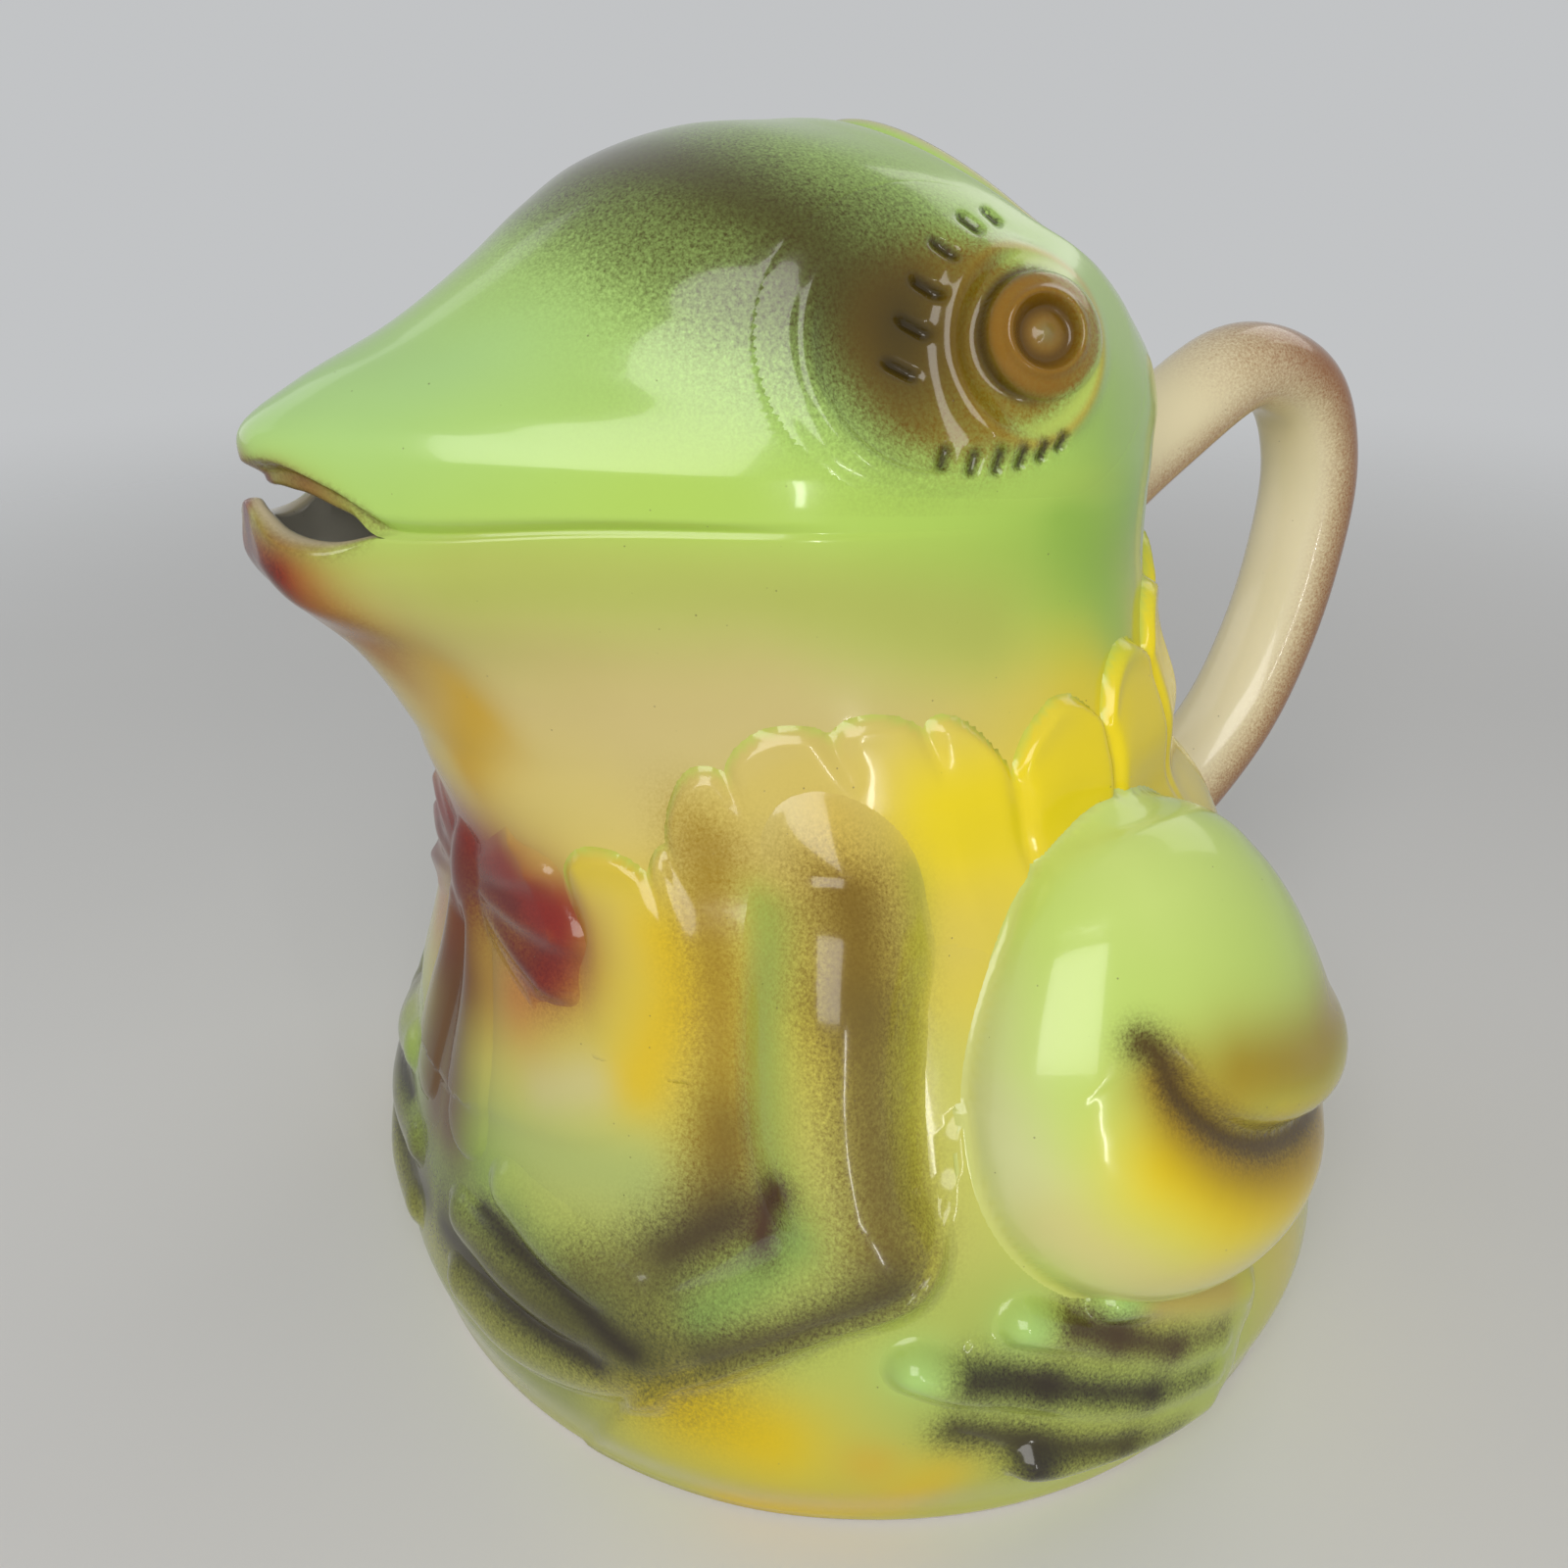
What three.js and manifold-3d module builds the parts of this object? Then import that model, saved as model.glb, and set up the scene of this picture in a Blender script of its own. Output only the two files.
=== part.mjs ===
// Frog pitcher: a hollow glazed earthenware jug shaped as a sitting frog.
// Millimetres, +Z up, the frog faces -Y, its left is +X, the foot stands on z = 0.
import * as THREE from 'three';
import { mergeVertices } from 'three/addons/utils/BufferGeometryUtils.js';
import Module from 'manifold-3d';

// Driving dimensions
const HEIGHT = 200;             // table to the crown
const BASE_RADIUS = 86;         // trunk just above the foot, at the front
const BASE_SIDE = 89;           // the same, at the flanks
const BASE_BACK = 91;           // the same, at the back
const SNOUT_REACH = 99;         // axis to the lip, forwards
const HEAD_HALF_WIDTH = 50;     // cheeks, from the middle plane
const BACK_OF_HEAD = 46;        // axis to the back of the head
const WALL = 5;                 // thickness of the clay wall
const FLOOR = 6;                // thickness of the bottom
const SLIP_JOINT = 0.3;         // clearance between a luted piece and its seat
const FEATHER = 0.8;            // edge thickness of a luted piece
const ROOT = 2;                 // how far a luted piece is drawn into the wall before its seat is cut
const RIM_TILT = THREE.MathUtils.degToRad(40);   // filling rim, leaning back
const MOUTH_TILT = THREE.MathUtils.degToRad(3);  // mouth line, rising to the snout
const RIM_HALF_WIDTH = 27;      // filling rim, outside, across
const MOUTH_HALF_WIDTH = 21;    // spout, corner to middle plane
const MOUTH_GAP = 7;            // spout, lip to lip at the middle
const LIP_STEP = 1.5;           // overhang of the upper lip along the cheek
const ARM_WIDTH = 22;           // upper foreleg, across
const ARM_RISE = 10;            // upper foreleg, proud of the trunk
const FINGER_WIDTH = 9;
const FINGER_RISE = 4;
const HAUNCH_SIZE = 72;         // folded thigh, top to bottom
const HAUNCH_RISE = 18;         // folded thigh, proud of the trunk
const FOLD_DEPTH = 5;           // knee fold
const TOE_WIDTH = 10;
const TOE_RISE = 5;
const PETAL_RISE = 2.4;         // collar, proud of the trunk
const PETAL_WIDTH = 15;         // one scallop, across
const BOW_RISE = 5;
const EYE_RADIUS = 9;
const EYE_RISE = 6;             // eyeball, proud of its socket
const HANDLE_WIDTH = 20;        // handle section, across
const HANDLE_DEPTH = 16;        // handle section, in the plane of the loop
const HANDLE_REACH = 121;       // axis to the outside of the loop

// Places worked out from those; up() is a height in hundredths of the whole
const up = (part) => (part * HEIGHT) / 100;
const MOUTH_Z = up(72);
const CROWN = up(99.75) - MOUTH_Z;
const HINGE_Y = CROWN / Math.tan(RIM_TILT) - up(1);

const wasm = await Module();
wasm.setup();
const deg = THREE.MathUtils.degToRad;

// Smooth curve through [place, value] pairs, flat at both ends.
function through(pairs) {
  const x = pairs.map((p) => p[0]);
  const y = pairs.map((p) => p[1]);
  const last = x.length - 1;
  const slope = x.map((_, i) => (i === 0 || i === last ? 0 : (y[i + 1] - y[i - 1]) / (x[i + 1] - x[i - 1])));
  return (at) => {
    const a = Math.min(Math.max(at, x[0]), x[last]);
    let i = 0;
    while (i < last - 1 && a > x[i + 1]) i += 1;
    const d = x[i + 1] - x[i];
    const s = (a - x[i]) / d;
    const rise = y[i + 1] - y[i];
    const bend = (1 - s) * (slope[i] * d - rise) - s * (slope[i + 1] * d - rise);
    return y[i] + rise * s + s * (1 - s) * bend;
  };
}

function smooth(a, b, x) {
  const s = Math.min(Math.max((x - a) / (b - a), 0), 1);
  return s * s * (3 - 2 * s);
}

// Trunk sections lie flat, k from 0 at the table to 1 at the mouth line.
const R = BASE_RADIUS;
const NECK = 0.845 * R;
const throat = (part) => NECK + part * (SNOUT_REACH - NECK);
const trunkFront = through([[0, 0.965 * R], [0.1, R], [0.31, 0.955 * R], [0.51, 0.87 * R], [0.66, NECK],
  [0.77, throat(0.16)], [0.8, throat(0.22)], [0.87, throat(0.5)], [0.925, throat(0.92)], [0.96, throat(1.08)],
  [1, throat(1.08)]]);
const cheek = HEAD_HALF_WIDTH;
const trunkSide = through([[0, 0.965 * BASE_SIDE], [0.1, BASE_SIDE], [0.31, 0.93 * BASE_SIDE], [0.51, 0.8 * BASE_SIDE],
  [0.63, 0.717 * BASE_SIDE], [0.7, 0.5 * (0.717 * BASE_SIDE + cheek)], [0.77, 1.1 * cheek], [0.84, 1.03 * cheek],
  [0.92, 0.99 * cheek], [1, cheek]]);
const nape = BACK_OF_HEAD;
const trunkBack = through([[0, 0.965 * BASE_BACK], [0.1, BASE_BACK], [0.31, 0.91 * BASE_BACK], [0.51, 0.765 * BASE_BACK],
  [0.63, 0.685 * BASE_BACK], [0.7, 0.5 * (0.685 * BASE_BACK + nape)], [0.77, 1.16 * nape], [0.84, 1.07 * nape],
  [0.92, 1.02 * nape], [1, nape]]);
const trunkMid = through([[0, 0], [0.7, 0], [1, -0.1 * cheek]]);
const trunkTaper = through([[0, 0], [0.66, 0], [0.82, 0.3], [0.93, 0.46], [1, 0.46]]);

// Head sections fan up about a hinge line behind the head, f from 0 at the mouth line to 1 at the filling rim.
// Lengths run forwards from the hinge line.
const tip = HINGE_Y + SNOUT_REACH;
const crown = CROWN / Math.sin(RIM_TILT);
const headFront = through([[0, 0.993 * tip], [0.09, 0.993 * tip], [0.145, 0.953 * tip], [0.235, 0.876 * tip],
  [0.343, 0.816 * tip], [0.47, 0.767 * tip], [0.58, 0.727 * tip], [0.73, 0.657 * tip], [0.86, 0.583 * tip], [1, crown]]);
const headBack = through([[0, HINGE_Y - nape], [0.5, 1.08 * (HINGE_Y - nape)], [1, 1.3 * (HINGE_Y - nape)]]);
const headSide = through([[0, cheek], [0.25, 0.995 * cheek], [0.53, 0.93 * cheek], [0.75, 0.8 * cheek],
  [0.9, 0.66 * cheek], [1, RIM_HALF_WIDTH]]);
const headMid = through([[0, HINGE_Y + 0.1 * cheek], [0.3, HINGE_Y + 0.1 * cheek], [0.55, HINGE_Y],
  [0.8, HINGE_Y - 0.16 * cheek], [1, HINGE_Y - 0.24 * cheek]]);
const headTaper = through([[0, 0.46], [0.1, 0.46], [0.35, 0.16], [0.55, -0.12], [0.8, -0.22], [1, -0.08]]);

// Point of the outer skin: t goes round from the front, v is 0 at the table, 1 at the mouth line, 2 at the rim.
function skin(t, v) {
  const c = Math.cos(t);
  const s = Math.sin(t);
  const k = Math.min(v, 1);
  const f = Math.max(v - 1, 0);
  const head = v > 1;
  const mid = head ? headMid(f) : HINGE_Y - trunkMid(k);
  const front = head ? headFront(f) - mid : trunkFront(k) + trunkMid(k);
  const back = head ? mid - headBack(f) : trunkBack(k) - trunkMid(k);
  const side = head ? headSide(f) : trunkSide(k);
  const taper = head ? headTaper(f) : trunkTaper(k);
  const step = LIP_STEP * smooth(0.25, 0.6, c) * smooth(0.85, 0.985, v) * (1 - smooth(1, 1.03, v));
  const inset = 1 - step / cheek;
  const reach = mid + c * (c > 0 ? front : back) * inset;
  const x = side * s * inset * (c > 0 ? 1 - taper * c * c : 1);
  const tilt = MOUTH_TILT * smooth(0.75, 1, k) + f * (RIM_TILT - MOUTH_TILT);
  return new THREE.Vector3(x, HINGE_Y - reach * Math.cos(tilt), k * MOUTH_Z + reach * Math.sin(tilt));
}

function skinNormal(t, v) {
  const e = 0.004;
  const round = skin(t + e, v).sub(skin(t - e, v));
  const up = skin(t, Math.min(v + e, 2)).sub(skin(t, Math.max(v - e, 0)));
  return round.cross(up).normalize();
}

function offSkin(t, v, h) {
  return skin(t, v).addScaledVector(skinNormal(t, v), h);
}

// Closed solid from rings of points, each ring closed on itself, ends capped flat on their middle point.
function ringSolid(rings) {
  const n = rings[0].length;
  const position = [];
  const index = [];
  rings.forEach((ring) => ring.forEach((p) => position.push(p.x, p.y, p.z)));
  for (let j = 0; j < rings.length - 1; j += 1) {
    for (let i = 0; i < n; i += 1) {
      const a = j * n + i;
      const b = j * n + ((i + 1) % n);
      index.push(a, b, b + n, a, b + n, a + n);
    }
  }
  const cap = (ring, start, flip) => {
    const middle = ring.reduce((m, p) => m.add(p), new THREE.Vector3()).divideScalar(n);
    const centre = position.length / 3;
    position.push(middle.x, middle.y, middle.z);
    for (let i = 0; i < n; i += 1) {
      const a = start + i;
      const b = start + ((i + 1) % n);
      index.push(...(flip ? [centre, b, a] : [centre, a, b]));
    }
  };
  cap(rings[0], 0, true);
  cap(rings[rings.length - 1], (rings.length - 1) * n, false);
  return solidOf(position, index);
}

function solidOf(position, index) {
  const solid = new wasm.Manifold(new wasm.Mesh({
    numProp: 3, vertProperties: new Float32Array(position), triVerts: new Uint32Array(index),
  }));
  return solid;
}

function solidOfGeometry(geometry) {
  geometry.deleteAttribute('normal');
  geometry.deleteAttribute('uv');
  const g = mergeVertices(geometry, 1e-4);
  return solidOf(g.attributes.position.array, g.index.array);
}

// Closed pad lying on the trunk: place(u, w) gives [angle, level, height] for u and w from -1 to 1.
// It is drawn rooted in the wall; once the seat is cut, its height stands over the slip joint.
function padSolid(nu, nw, place) {
  const position = [];
  const index = [];
  const row = nw + 1;
  const layer = (nu + 1) * row;
  for (const top of [true, false]) {
    for (let i = 0; i <= nu; i += 1) {
      for (let j = 0; j <= nw; j += 1) {
        const [t, v, h] = place(-1 + (2 * i) / nu, -1 + (2 * j) / nw);
        const p = offSkin(t, v, top ? SLIP_JOINT + h : -ROOT);
        position.push(p.x, p.y, p.z);
      }
    }
  }
  const quad = (a, b, c, d) => index.push(a, b, c, a, c, d);
  for (let i = 0; i < nu; i += 1) {
    for (let j = 0; j < nw; j += 1) {
      const a = i * row + j;
      quad(a, a + row, a + row + 1, a + 1);
      quad(layer + a, layer + a + 1, layer + a + row + 1, layer + a + row);
    }
  }
  for (let i = 0; i < nu; i += 1) {
    const a = i * row;
    const b = a + nw;
    quad(a, layer + a, layer + a + row, a + row);
    quad(b + row, layer + b + row, layer + b, b);
  }
  for (let j = 0; j < nw; j += 1) {
    const a = j;
    const b = nu * row + j;
    quad(a + 1, layer + a + 1, layer + a, a);
    quad(b, layer + b, layer + b + 1, b + 1);
  }
  return solidOf(position, index);
}

// Ridge along a path of [degrees, height above the table] pairs; half and rise vary along it.
function ridge(path, half, rise, grow, steps, rows, side) {
  const girth = R;
  const curve = new THREE.SplineCurve(path.map(([a, z]) => new THREE.Vector2(deg(a) * girth, z)));
  return padSolid(steps, rows, (u, w) => {
    const s = (u + 1) / 2;
    const p = curve.getPoint(s);
    const q = curve.getTangent(s);
    const end = Math.sqrt(Math.max(1 - u ** 6, 0.1));
    const across = side * w * (end * half(s) + grow);
    const stretch = u * grow;
    const z = p.y + q.y * stretch + q.x * across;
    const a = (p.x + q.x * stretch) / girth - (q.y * across) / trunkSide(Math.max(p.y, 0) / MOUTH_Z);
    const h = grow + FEATHER + (rise(s) - FEATHER) * end * Math.sqrt(Math.max(1 - w * w, 0));
    return [side * a, z / MOUTH_Z, h];
  });
}

function union(solids) {
  return solids.reduce((a, b) => a.add(b));
}

const ringAt = (v, h, n) => Array.from({ length: n }, (_, i) => offSkin((2 * Math.PI * i) / n, v, h));

// Body: outer skin less the cavity, the spout mouth and the eye sockets
const outerLevels = [0, 0.03, 0.09, 0.18, 0.28, 0.38, 0.48, 0.58, 0.66, 0.73, 0.8, 0.86, 0.92, 0.96, 0.99,
  1.03, 1.07, 1.12, 1.18, 1.25, 1.33, 1.43, 1.54, 1.65, 1.76, 1.86, 1.94, 2];
const innerLevels = [0.06, 0.14, 0.28, 0.42, 0.56, 0.68, 0.78, 0.87, 0.95, 1.08, 1.18, 1.33, 1.54, 1.76, 1.92, 2];

function outerSolid(grow) {
  return ringSolid(outerLevels.map((v) => ringAt(v, grow, 44)));
}

const rimOut = new THREE.Vector3(0, Math.sin(RIM_TILT), Math.cos(RIM_TILT));

function cavitySolid() {
  const rings = innerLevels.map((v) => ringAt(v, -WALL, 30));
  const foot = rings[0].map((p) => new THREE.Vector3(0.9 * p.x, 0.9 * p.y, FLOOR));
  const neck = rings[rings.length - 1];
  const away = neck.map((p) => p.clone().addScaledVector(rimOut, 3 * WALL));
  return ringSolid([foot, ...rings.slice(1), away]);
}

// Almond cutter for the spout, lips meeting at the corners
function mouthSolid() {
  const corner = up(76);
  const half = MOUTH_HALF_WIDTH;
  const almond = new THREE.Shape();
  almond.moveTo(-half, corner);
  almond.bezierCurveTo(-0.4 * half, corner + MOUTH_GAP, 0.4 * half, corner + MOUTH_GAP, half, corner);
  almond.bezierCurveTo(0.5 * half, corner - 0.5 * MOUTH_GAP, -0.5 * half, corner - 0.5 * MOUTH_GAP, -half, corner);
  const cut = new THREE.ExtrudeGeometry(almond, { depth: 0.35 * SNOUT_REACH, bevelEnabled: false, curveSegments: 9 });
  cut.rotateX(Math.PI / 2);
  cut.translate(0, -0.72 * SNOUT_REACH, 0);
  return solidOfGeometry(cut);
}

// Frame standing on the skin: its Z points out, its Y points up the skin
function seat(t, v, h, forward) {
  const out = skinNormal(t, v);
  out.add(new THREE.Vector3(0, -forward, 0)).normalize();
  const across = new THREE.Vector3().crossVectors(new THREE.Vector3(0, 0, 1), out).normalize();
  const upright = new THREE.Vector3().crossVectors(out, across);
  const m = new THREE.Matrix4().makeBasis(across, upright, out);
  return m.setPosition(offSkin(t, v, h));
}

const EYE_T = deg(82);
const EYE_V = 1.5;
const EYE_FORWARD = 0.55;       // how far the eye is turned towards the snout

function boss(side, t, v, h, forward, size) {
  const g = new THREE.SphereGeometry(1, 18, 10);
  g.scale(size[0], size[1], size[2]);
  g.applyMatrix4(seat(side * t, v, h, forward));
  return solidOfGeometry(g);
}

function browSolid(side, grow) {
  const size = [2.3 * EYE_RADIUS, 2.1 * EYE_RADIUS, 0.9 * EYE_RISE];
  return boss(side, 0.94 * EYE_T, EYE_V, -0.5 * EYE_RISE, 0.3, size.map((r) => r + grow));
}

function socketSolid(side, grow) {
  const size = [1.7 * EYE_RADIUS, 2.2 * EYE_RADIUS, 1.25 * EYE_RISE];
  return boss(side, 0.8 * EYE_T, EYE_V - 0.03, 0.8 * EYE_RISE, 0.5, size.map((r) => r + grow));
}

function eyeSolid(side, grow) {
  const r = EYE_RADIUS + grow;
  const top = EYE_RISE + grow;
  const profile = [[0, -0.9 * EYE_RISE], [0.9 * r, -0.9 * EYE_RISE], [r, 0], [0.96 * r, 0.4 * top], [0.82 * r, 0.8 * top],
    [0.66 * r, top], [0.54 * r, 0.98 * top], [0.46 * r, 0.8 * top], [0.3 * r, 0.74 * top], [0.16 * r, 0.62 * top],
    [0, 0.58 * top]].map(([x, y]) => new THREE.Vector2(x, y));
  const g = new THREE.LatheGeometry(profile, 20);
  g.rotateX(Math.PI / 2);
  g.applyMatrix4(seat(side * EYE_T, EYE_V, 0.25 * EYE_RISE, EYE_FORWARD));
  return solidOfGeometry(g);
}

function handleSolid(grow) {
  const reach = HANDLE_REACH - HANDLE_DEPTH / 2;
  const span = reach - BACK_OF_HEAD;
  const at = (s, z) => new THREE.Vector3(0, BACK_OF_HEAD + s * span, z * HEIGHT);
  const path = new THREE.CatmullRomCurve3([at(-0.12, 0.655), at(0.28, 0.715), at(0.62, 0.785), at(0.89, 0.75),
    at(1, 0.655), at(0.94, 0.52), at(0.8, 0.41), at(0.58, 0.335), at(0.3, 0.29)]);
  const oval = new THREE.Shape();
  oval.absellipse(0, 0, HANDLE_WIDTH / 2 + grow, HANDLE_DEPTH / 2 + grow, 0, 2 * Math.PI);
  const loop = new THREE.ExtrudeGeometry(oval, { steps: 20, extrudePath: path, curveSegments: 6 });
  // swelling at a root, longest along the loop
  const flare = (s) => {
    const g = new THREE.SphereGeometry(1, 12, 8);
    g.scale(0.57 * HANDLE_WIDTH + grow, 1.6 * HANDLE_DEPTH + grow, 0.66 * HANDLE_DEPTH + grow);
    const along = path.getTangentAt(s);
    g.rotateX(Math.atan2(along.z, along.y));
    const at = path.getPointAt(s);
    g.translate(at.x, at.y, at.z);
    return solidOfGeometry(g);
  };
  return union([solidOfGeometry(loop), flare(0.02), flare(0.95)]);
}

// Limbs, written for the frog's left; side is 1 for left and -1 for right
const flat = (a, b) => (s) => a + (b - a) * s;

function forelegSolid(side, grow) {
  const half = ARM_WIDTH / 2;
  const finger = FINGER_WIDTH / 2;
  const upper = ridge([[63.5, up(55)], [60.5, up(49)], [57, up(43.5)], [55.3, up(38)], [55.2, up(33)], [56.6, up(25)]],
    (s) => half * (0.78 + 0.22 * Math.sin(Math.PI * (0.1 + 0.8 * s))),
    (s) => ARM_RISE * (0.45 + 0.5 * smooth(0, 0.35, s)), grow, 10, 6, side);
  const lower = ridge([[60, up(26.5)], [52, up(23.5)], [46, up(20.5)], [40, up(18)], [34, up(15.5)]],
    flat(0.8 * half, 0.6 * half), flat(0.85 * ARM_RISE, 1.2 * FINGER_RISE), grow, 8, 6, side);
  const tips = [[[38, up(18)], [29, up(19.2)], [18, up(22.5)]], [[37, up(16)], [24, up(16)], [10.5, up(17.2)]],
    [[36, up(14.5)], [24, up(12)], [11, up(10.6)]]];
  const fingers = tips.map((path) => ridge(path, flat(1.1 * finger, 0.8 * finger),
    flat(1.1 * FINGER_RISE, 0.8 * FINGER_RISE), grow, 5, 4, side));
  return union([upper, lower, ...fingers]);
}

function haunchSolid(side, grow) {
  const half = HAUNCH_SIZE / 2 + grow;
  const round = (1.05 * half) / (0.82 * R);
  const rise = (edge) => grow + FEATHER + (HAUNCH_RISE - FEATHER) * Math.max(1 - edge, 0) ** 0.55;
  const spot = (a, b, h) => [side * (deg(101) + a * round), (up(34.5) + b * half) / MOUTH_Z, h];
  const dome = padSolid(12, 12, (u, w) => {
    const a = side * u * Math.sqrt(1 - (w * w) / 2);
    const b = w * Math.sqrt(1 - (u * u) / 2);
    return spot(a, b, rise(a * a + b * b));
  });
  if (grow > 0) return dome;
  const fold = [[-0.4, 0.08], [-0.28, -0.18], [0, -0.38], [0.42, -0.48], [0.82, -0.48]];
  const path = new THREE.CatmullRomCurve3(fold.map(([a, b]) => offSkin(...spot(a, b, rise(a * a + b * b)))));
  const bead = new THREE.Shape();
  bead.absarc(0, 0, 0.6 * FOLD_DEPTH, 0, 2 * Math.PI);
  const trench = new THREE.ExtrudeGeometry(bead, { steps: 16, extrudePath: path, curveSegments: 4 });
  return dome.subtract(solidOfGeometry(trench));
}

function hindFootSolid(side, grow) {
  const half = TOE_WIDTH / 2;
  const toes = [[[99, up(6)], [82, up(7.5)], [67, up(9.5)]], [[100, up(9)], [79, up(13.5)], [63, up(18)]],
    [[101, up(12)], [86, up(16.5)], [72, up(21)]], [[103, up(15)], [94, up(18)], [82, up(21)]]];
  return union(toes.map((path) => ridge(path, (s) => half * (0.75 + 0.35 * Math.sin(Math.PI * s)),
    (s) => TOE_RISE * (0.7 + 0.3 * Math.sin(Math.PI * s)), grow, 6, 4, side)));
}

function collarSolid() {
  const start = 29;
  const edge = through([[start, up(51.5)], [36, up(52.5)], [42, up(58.5)], [55, up(62)], [80, up(61.5)], [97, up(61.5)],
    [110, up(64)], [130, up(68)], [180, up(69)]]);
  const low = up(44.5);
  const girth = 0.7 * R;
  const count = Math.round((2 * (Math.PI - deg(start)) * girth) / PETAL_WIDTH);
  return padSolid(4 * count, 2, (u, w) => {
    const t = Math.PI + u * (Math.PI - deg(start));
    const around = 180 - Math.abs(180 - THREE.MathUtils.radToDeg(t));
    const petal = Math.abs(Math.sin((Math.PI * count * (u + 1)) / 2));
    const s = (w + 1) / 2;
    const top = edge(around) - 0.3 * PETAL_WIDTH * (1 - petal ** 0.6);
    const h = FEATHER + (PETAL_RISE - FEATHER) * (0.5 + 0.5 * petal) * Math.sin(Math.PI * (0.03 + 0.8 * s));
    return [t, (low + (top - low) * s) / MOUTH_Z, h];
  });
}

// Bow with two loops pleated in three, round the ends of the pleats, and two hanging tails
function bowSolid() {
  const half = deg(26);
  const loops = padSolid(14, 9, (u, w) => {
    const lobe = Math.abs(u);
    const tall = up(2.8) + up(4.2) * smooth(0.1, 0.8, lobe);
    const knot = 1 - smooth(0.08, 0.2, lobe);
    const pleat = 0.5 + 0.5 * Math.cos(3 * Math.PI * w);
    const end = 0.86 + 0.14 * pleat * Math.sqrt(1 - 0.6 * w * w);
    const roll = Math.max(1 - u ** 6, 0.05) ** 0.5 * Math.max(1 - w ** 4, 0.05) ** 0.5;
    const h = FEATHER + (BOW_RISE - FEATHER) * roll * (0.6 + 0.4 * Math.max(pleat, knot));
    return [u * half * end, (up(44.5) + w * tall) / MOUTH_Z, h];
  });
  const tails = [1, -1].map((side) => ridge([[1.5, up(43)], [3, up(36)], [5, up(29)], [6, up(23.5)]],
    flat(0.55 * BOW_RISE, 1.05 * BOW_RISE), flat(0.6 * BOW_RISE, 0.3 * BOW_RISE), 0, 4, 3, side));
  return union([loops, ...tails]);
}

// Assembly
const group = new THREE.Group();
group.name = 'frog_pitcher';

function addPiece(name, solid, colour, roughness) {
  const mesh = solid.getMesh();
  const g = new THREE.BufferGeometry();
  const p = new Float32Array(mesh.numVert * 3);
  for (let i = 0; i < mesh.numVert; i += 1) {
    for (let k = 0; k < 3; k += 1) p[3 * i + k] = mesh.vertProperties[mesh.numProp * i + k];
  }
  g.setAttribute('position', new THREE.BufferAttribute(p, 3));
  g.setIndex(new THREE.BufferAttribute(new Uint32Array(mesh.triVerts), 1));
  g.computeVertexNormals();
  const material = new THREE.MeshStandardMaterial({ color: colour, roughness, metalness: 0 });
  material.name = `${name}_glaze`;
  const piece = new THREE.Mesh(g, material);
  piece.name = name;
  group.add(piece);
}

const sides = [['left', 1], ['right', -1]];
const pair = (make, grow) => make(1, grow).add(make(-1, grow));
const headed = (grow) => outerSolid(grow).add(pair(browSolid, grow)).subtract(pair(socketSolid, -grow));
const seatCut = headed(SLIP_JOINT);
const shell = headed(0).subtract(cavitySolid()).subtract(mouthSolid());
addPiece('body_shell', shell, 0x8cc84b, 0.2);
addPiece('handle', handleSolid(0).subtract(seatCut), 0xe8d8b0, 0.2);

let collar = collarSolid().subtract(seatCut).subtract(handleSolid(SLIP_JOINT));
for (const [name, side] of sides) {
  const forelegRoom = forelegSolid(side, SLIP_JOINT);
  const haunchRoom = haunchSolid(side, SLIP_JOINT);
  const foot = hindFootSolid(side, 0).subtract(haunchRoom).subtract(forelegRoom);
  collar = collar.subtract(forelegRoom).subtract(haunchRoom);
  addPiece(`${name}_eye`, eyeSolid(side, 0).subtract(seatCut), 0x8a6a1c, 0.2);
  addPiece(`${name}_foreleg`, forelegSolid(side, 0).subtract(seatCut), 0x7a7a2c, 0.2);
  addPiece(`${name}_haunch`, haunchSolid(side, 0).subtract(seatCut), 0xa4cf5a, 0.2);
  addPiece(`${name}_hind_foot`, foot.subtract(seatCut), 0x6c8a34, 0.2);
}
addPiece('petal_collar', collar, 0xf0d833, 0.2);
addPiece('chest_bow', bowSolid().subtract(seatCut), 0xa32620, 0.2);

export default group;
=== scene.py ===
"""Frog pitcher in airbrushed glazes. Shapes are worked out in millimetres and stored in metres.

+Z is up, the frog faces -Y and its left is +X. t is the angle round the axis from the front, v is the level
on the skin: 0 at the table, 1 at the mouth line, 2 at the filling rim. w is v times the mouth line's height.
"""
import bpy
import numpy as np
from mathutils import Matrix, Vector


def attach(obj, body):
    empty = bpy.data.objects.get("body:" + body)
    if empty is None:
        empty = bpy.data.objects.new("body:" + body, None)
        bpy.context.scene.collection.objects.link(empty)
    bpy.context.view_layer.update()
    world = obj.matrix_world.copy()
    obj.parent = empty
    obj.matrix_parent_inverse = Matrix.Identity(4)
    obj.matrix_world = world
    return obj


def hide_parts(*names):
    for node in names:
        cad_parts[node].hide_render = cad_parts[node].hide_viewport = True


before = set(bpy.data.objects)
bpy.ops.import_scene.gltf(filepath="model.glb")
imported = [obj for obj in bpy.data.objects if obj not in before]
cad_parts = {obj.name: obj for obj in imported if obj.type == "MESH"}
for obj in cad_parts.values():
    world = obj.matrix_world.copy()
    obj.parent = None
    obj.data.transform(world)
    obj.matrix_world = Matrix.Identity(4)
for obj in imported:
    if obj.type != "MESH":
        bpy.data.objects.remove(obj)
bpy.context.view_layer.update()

HEIGHT = 200.0
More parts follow.
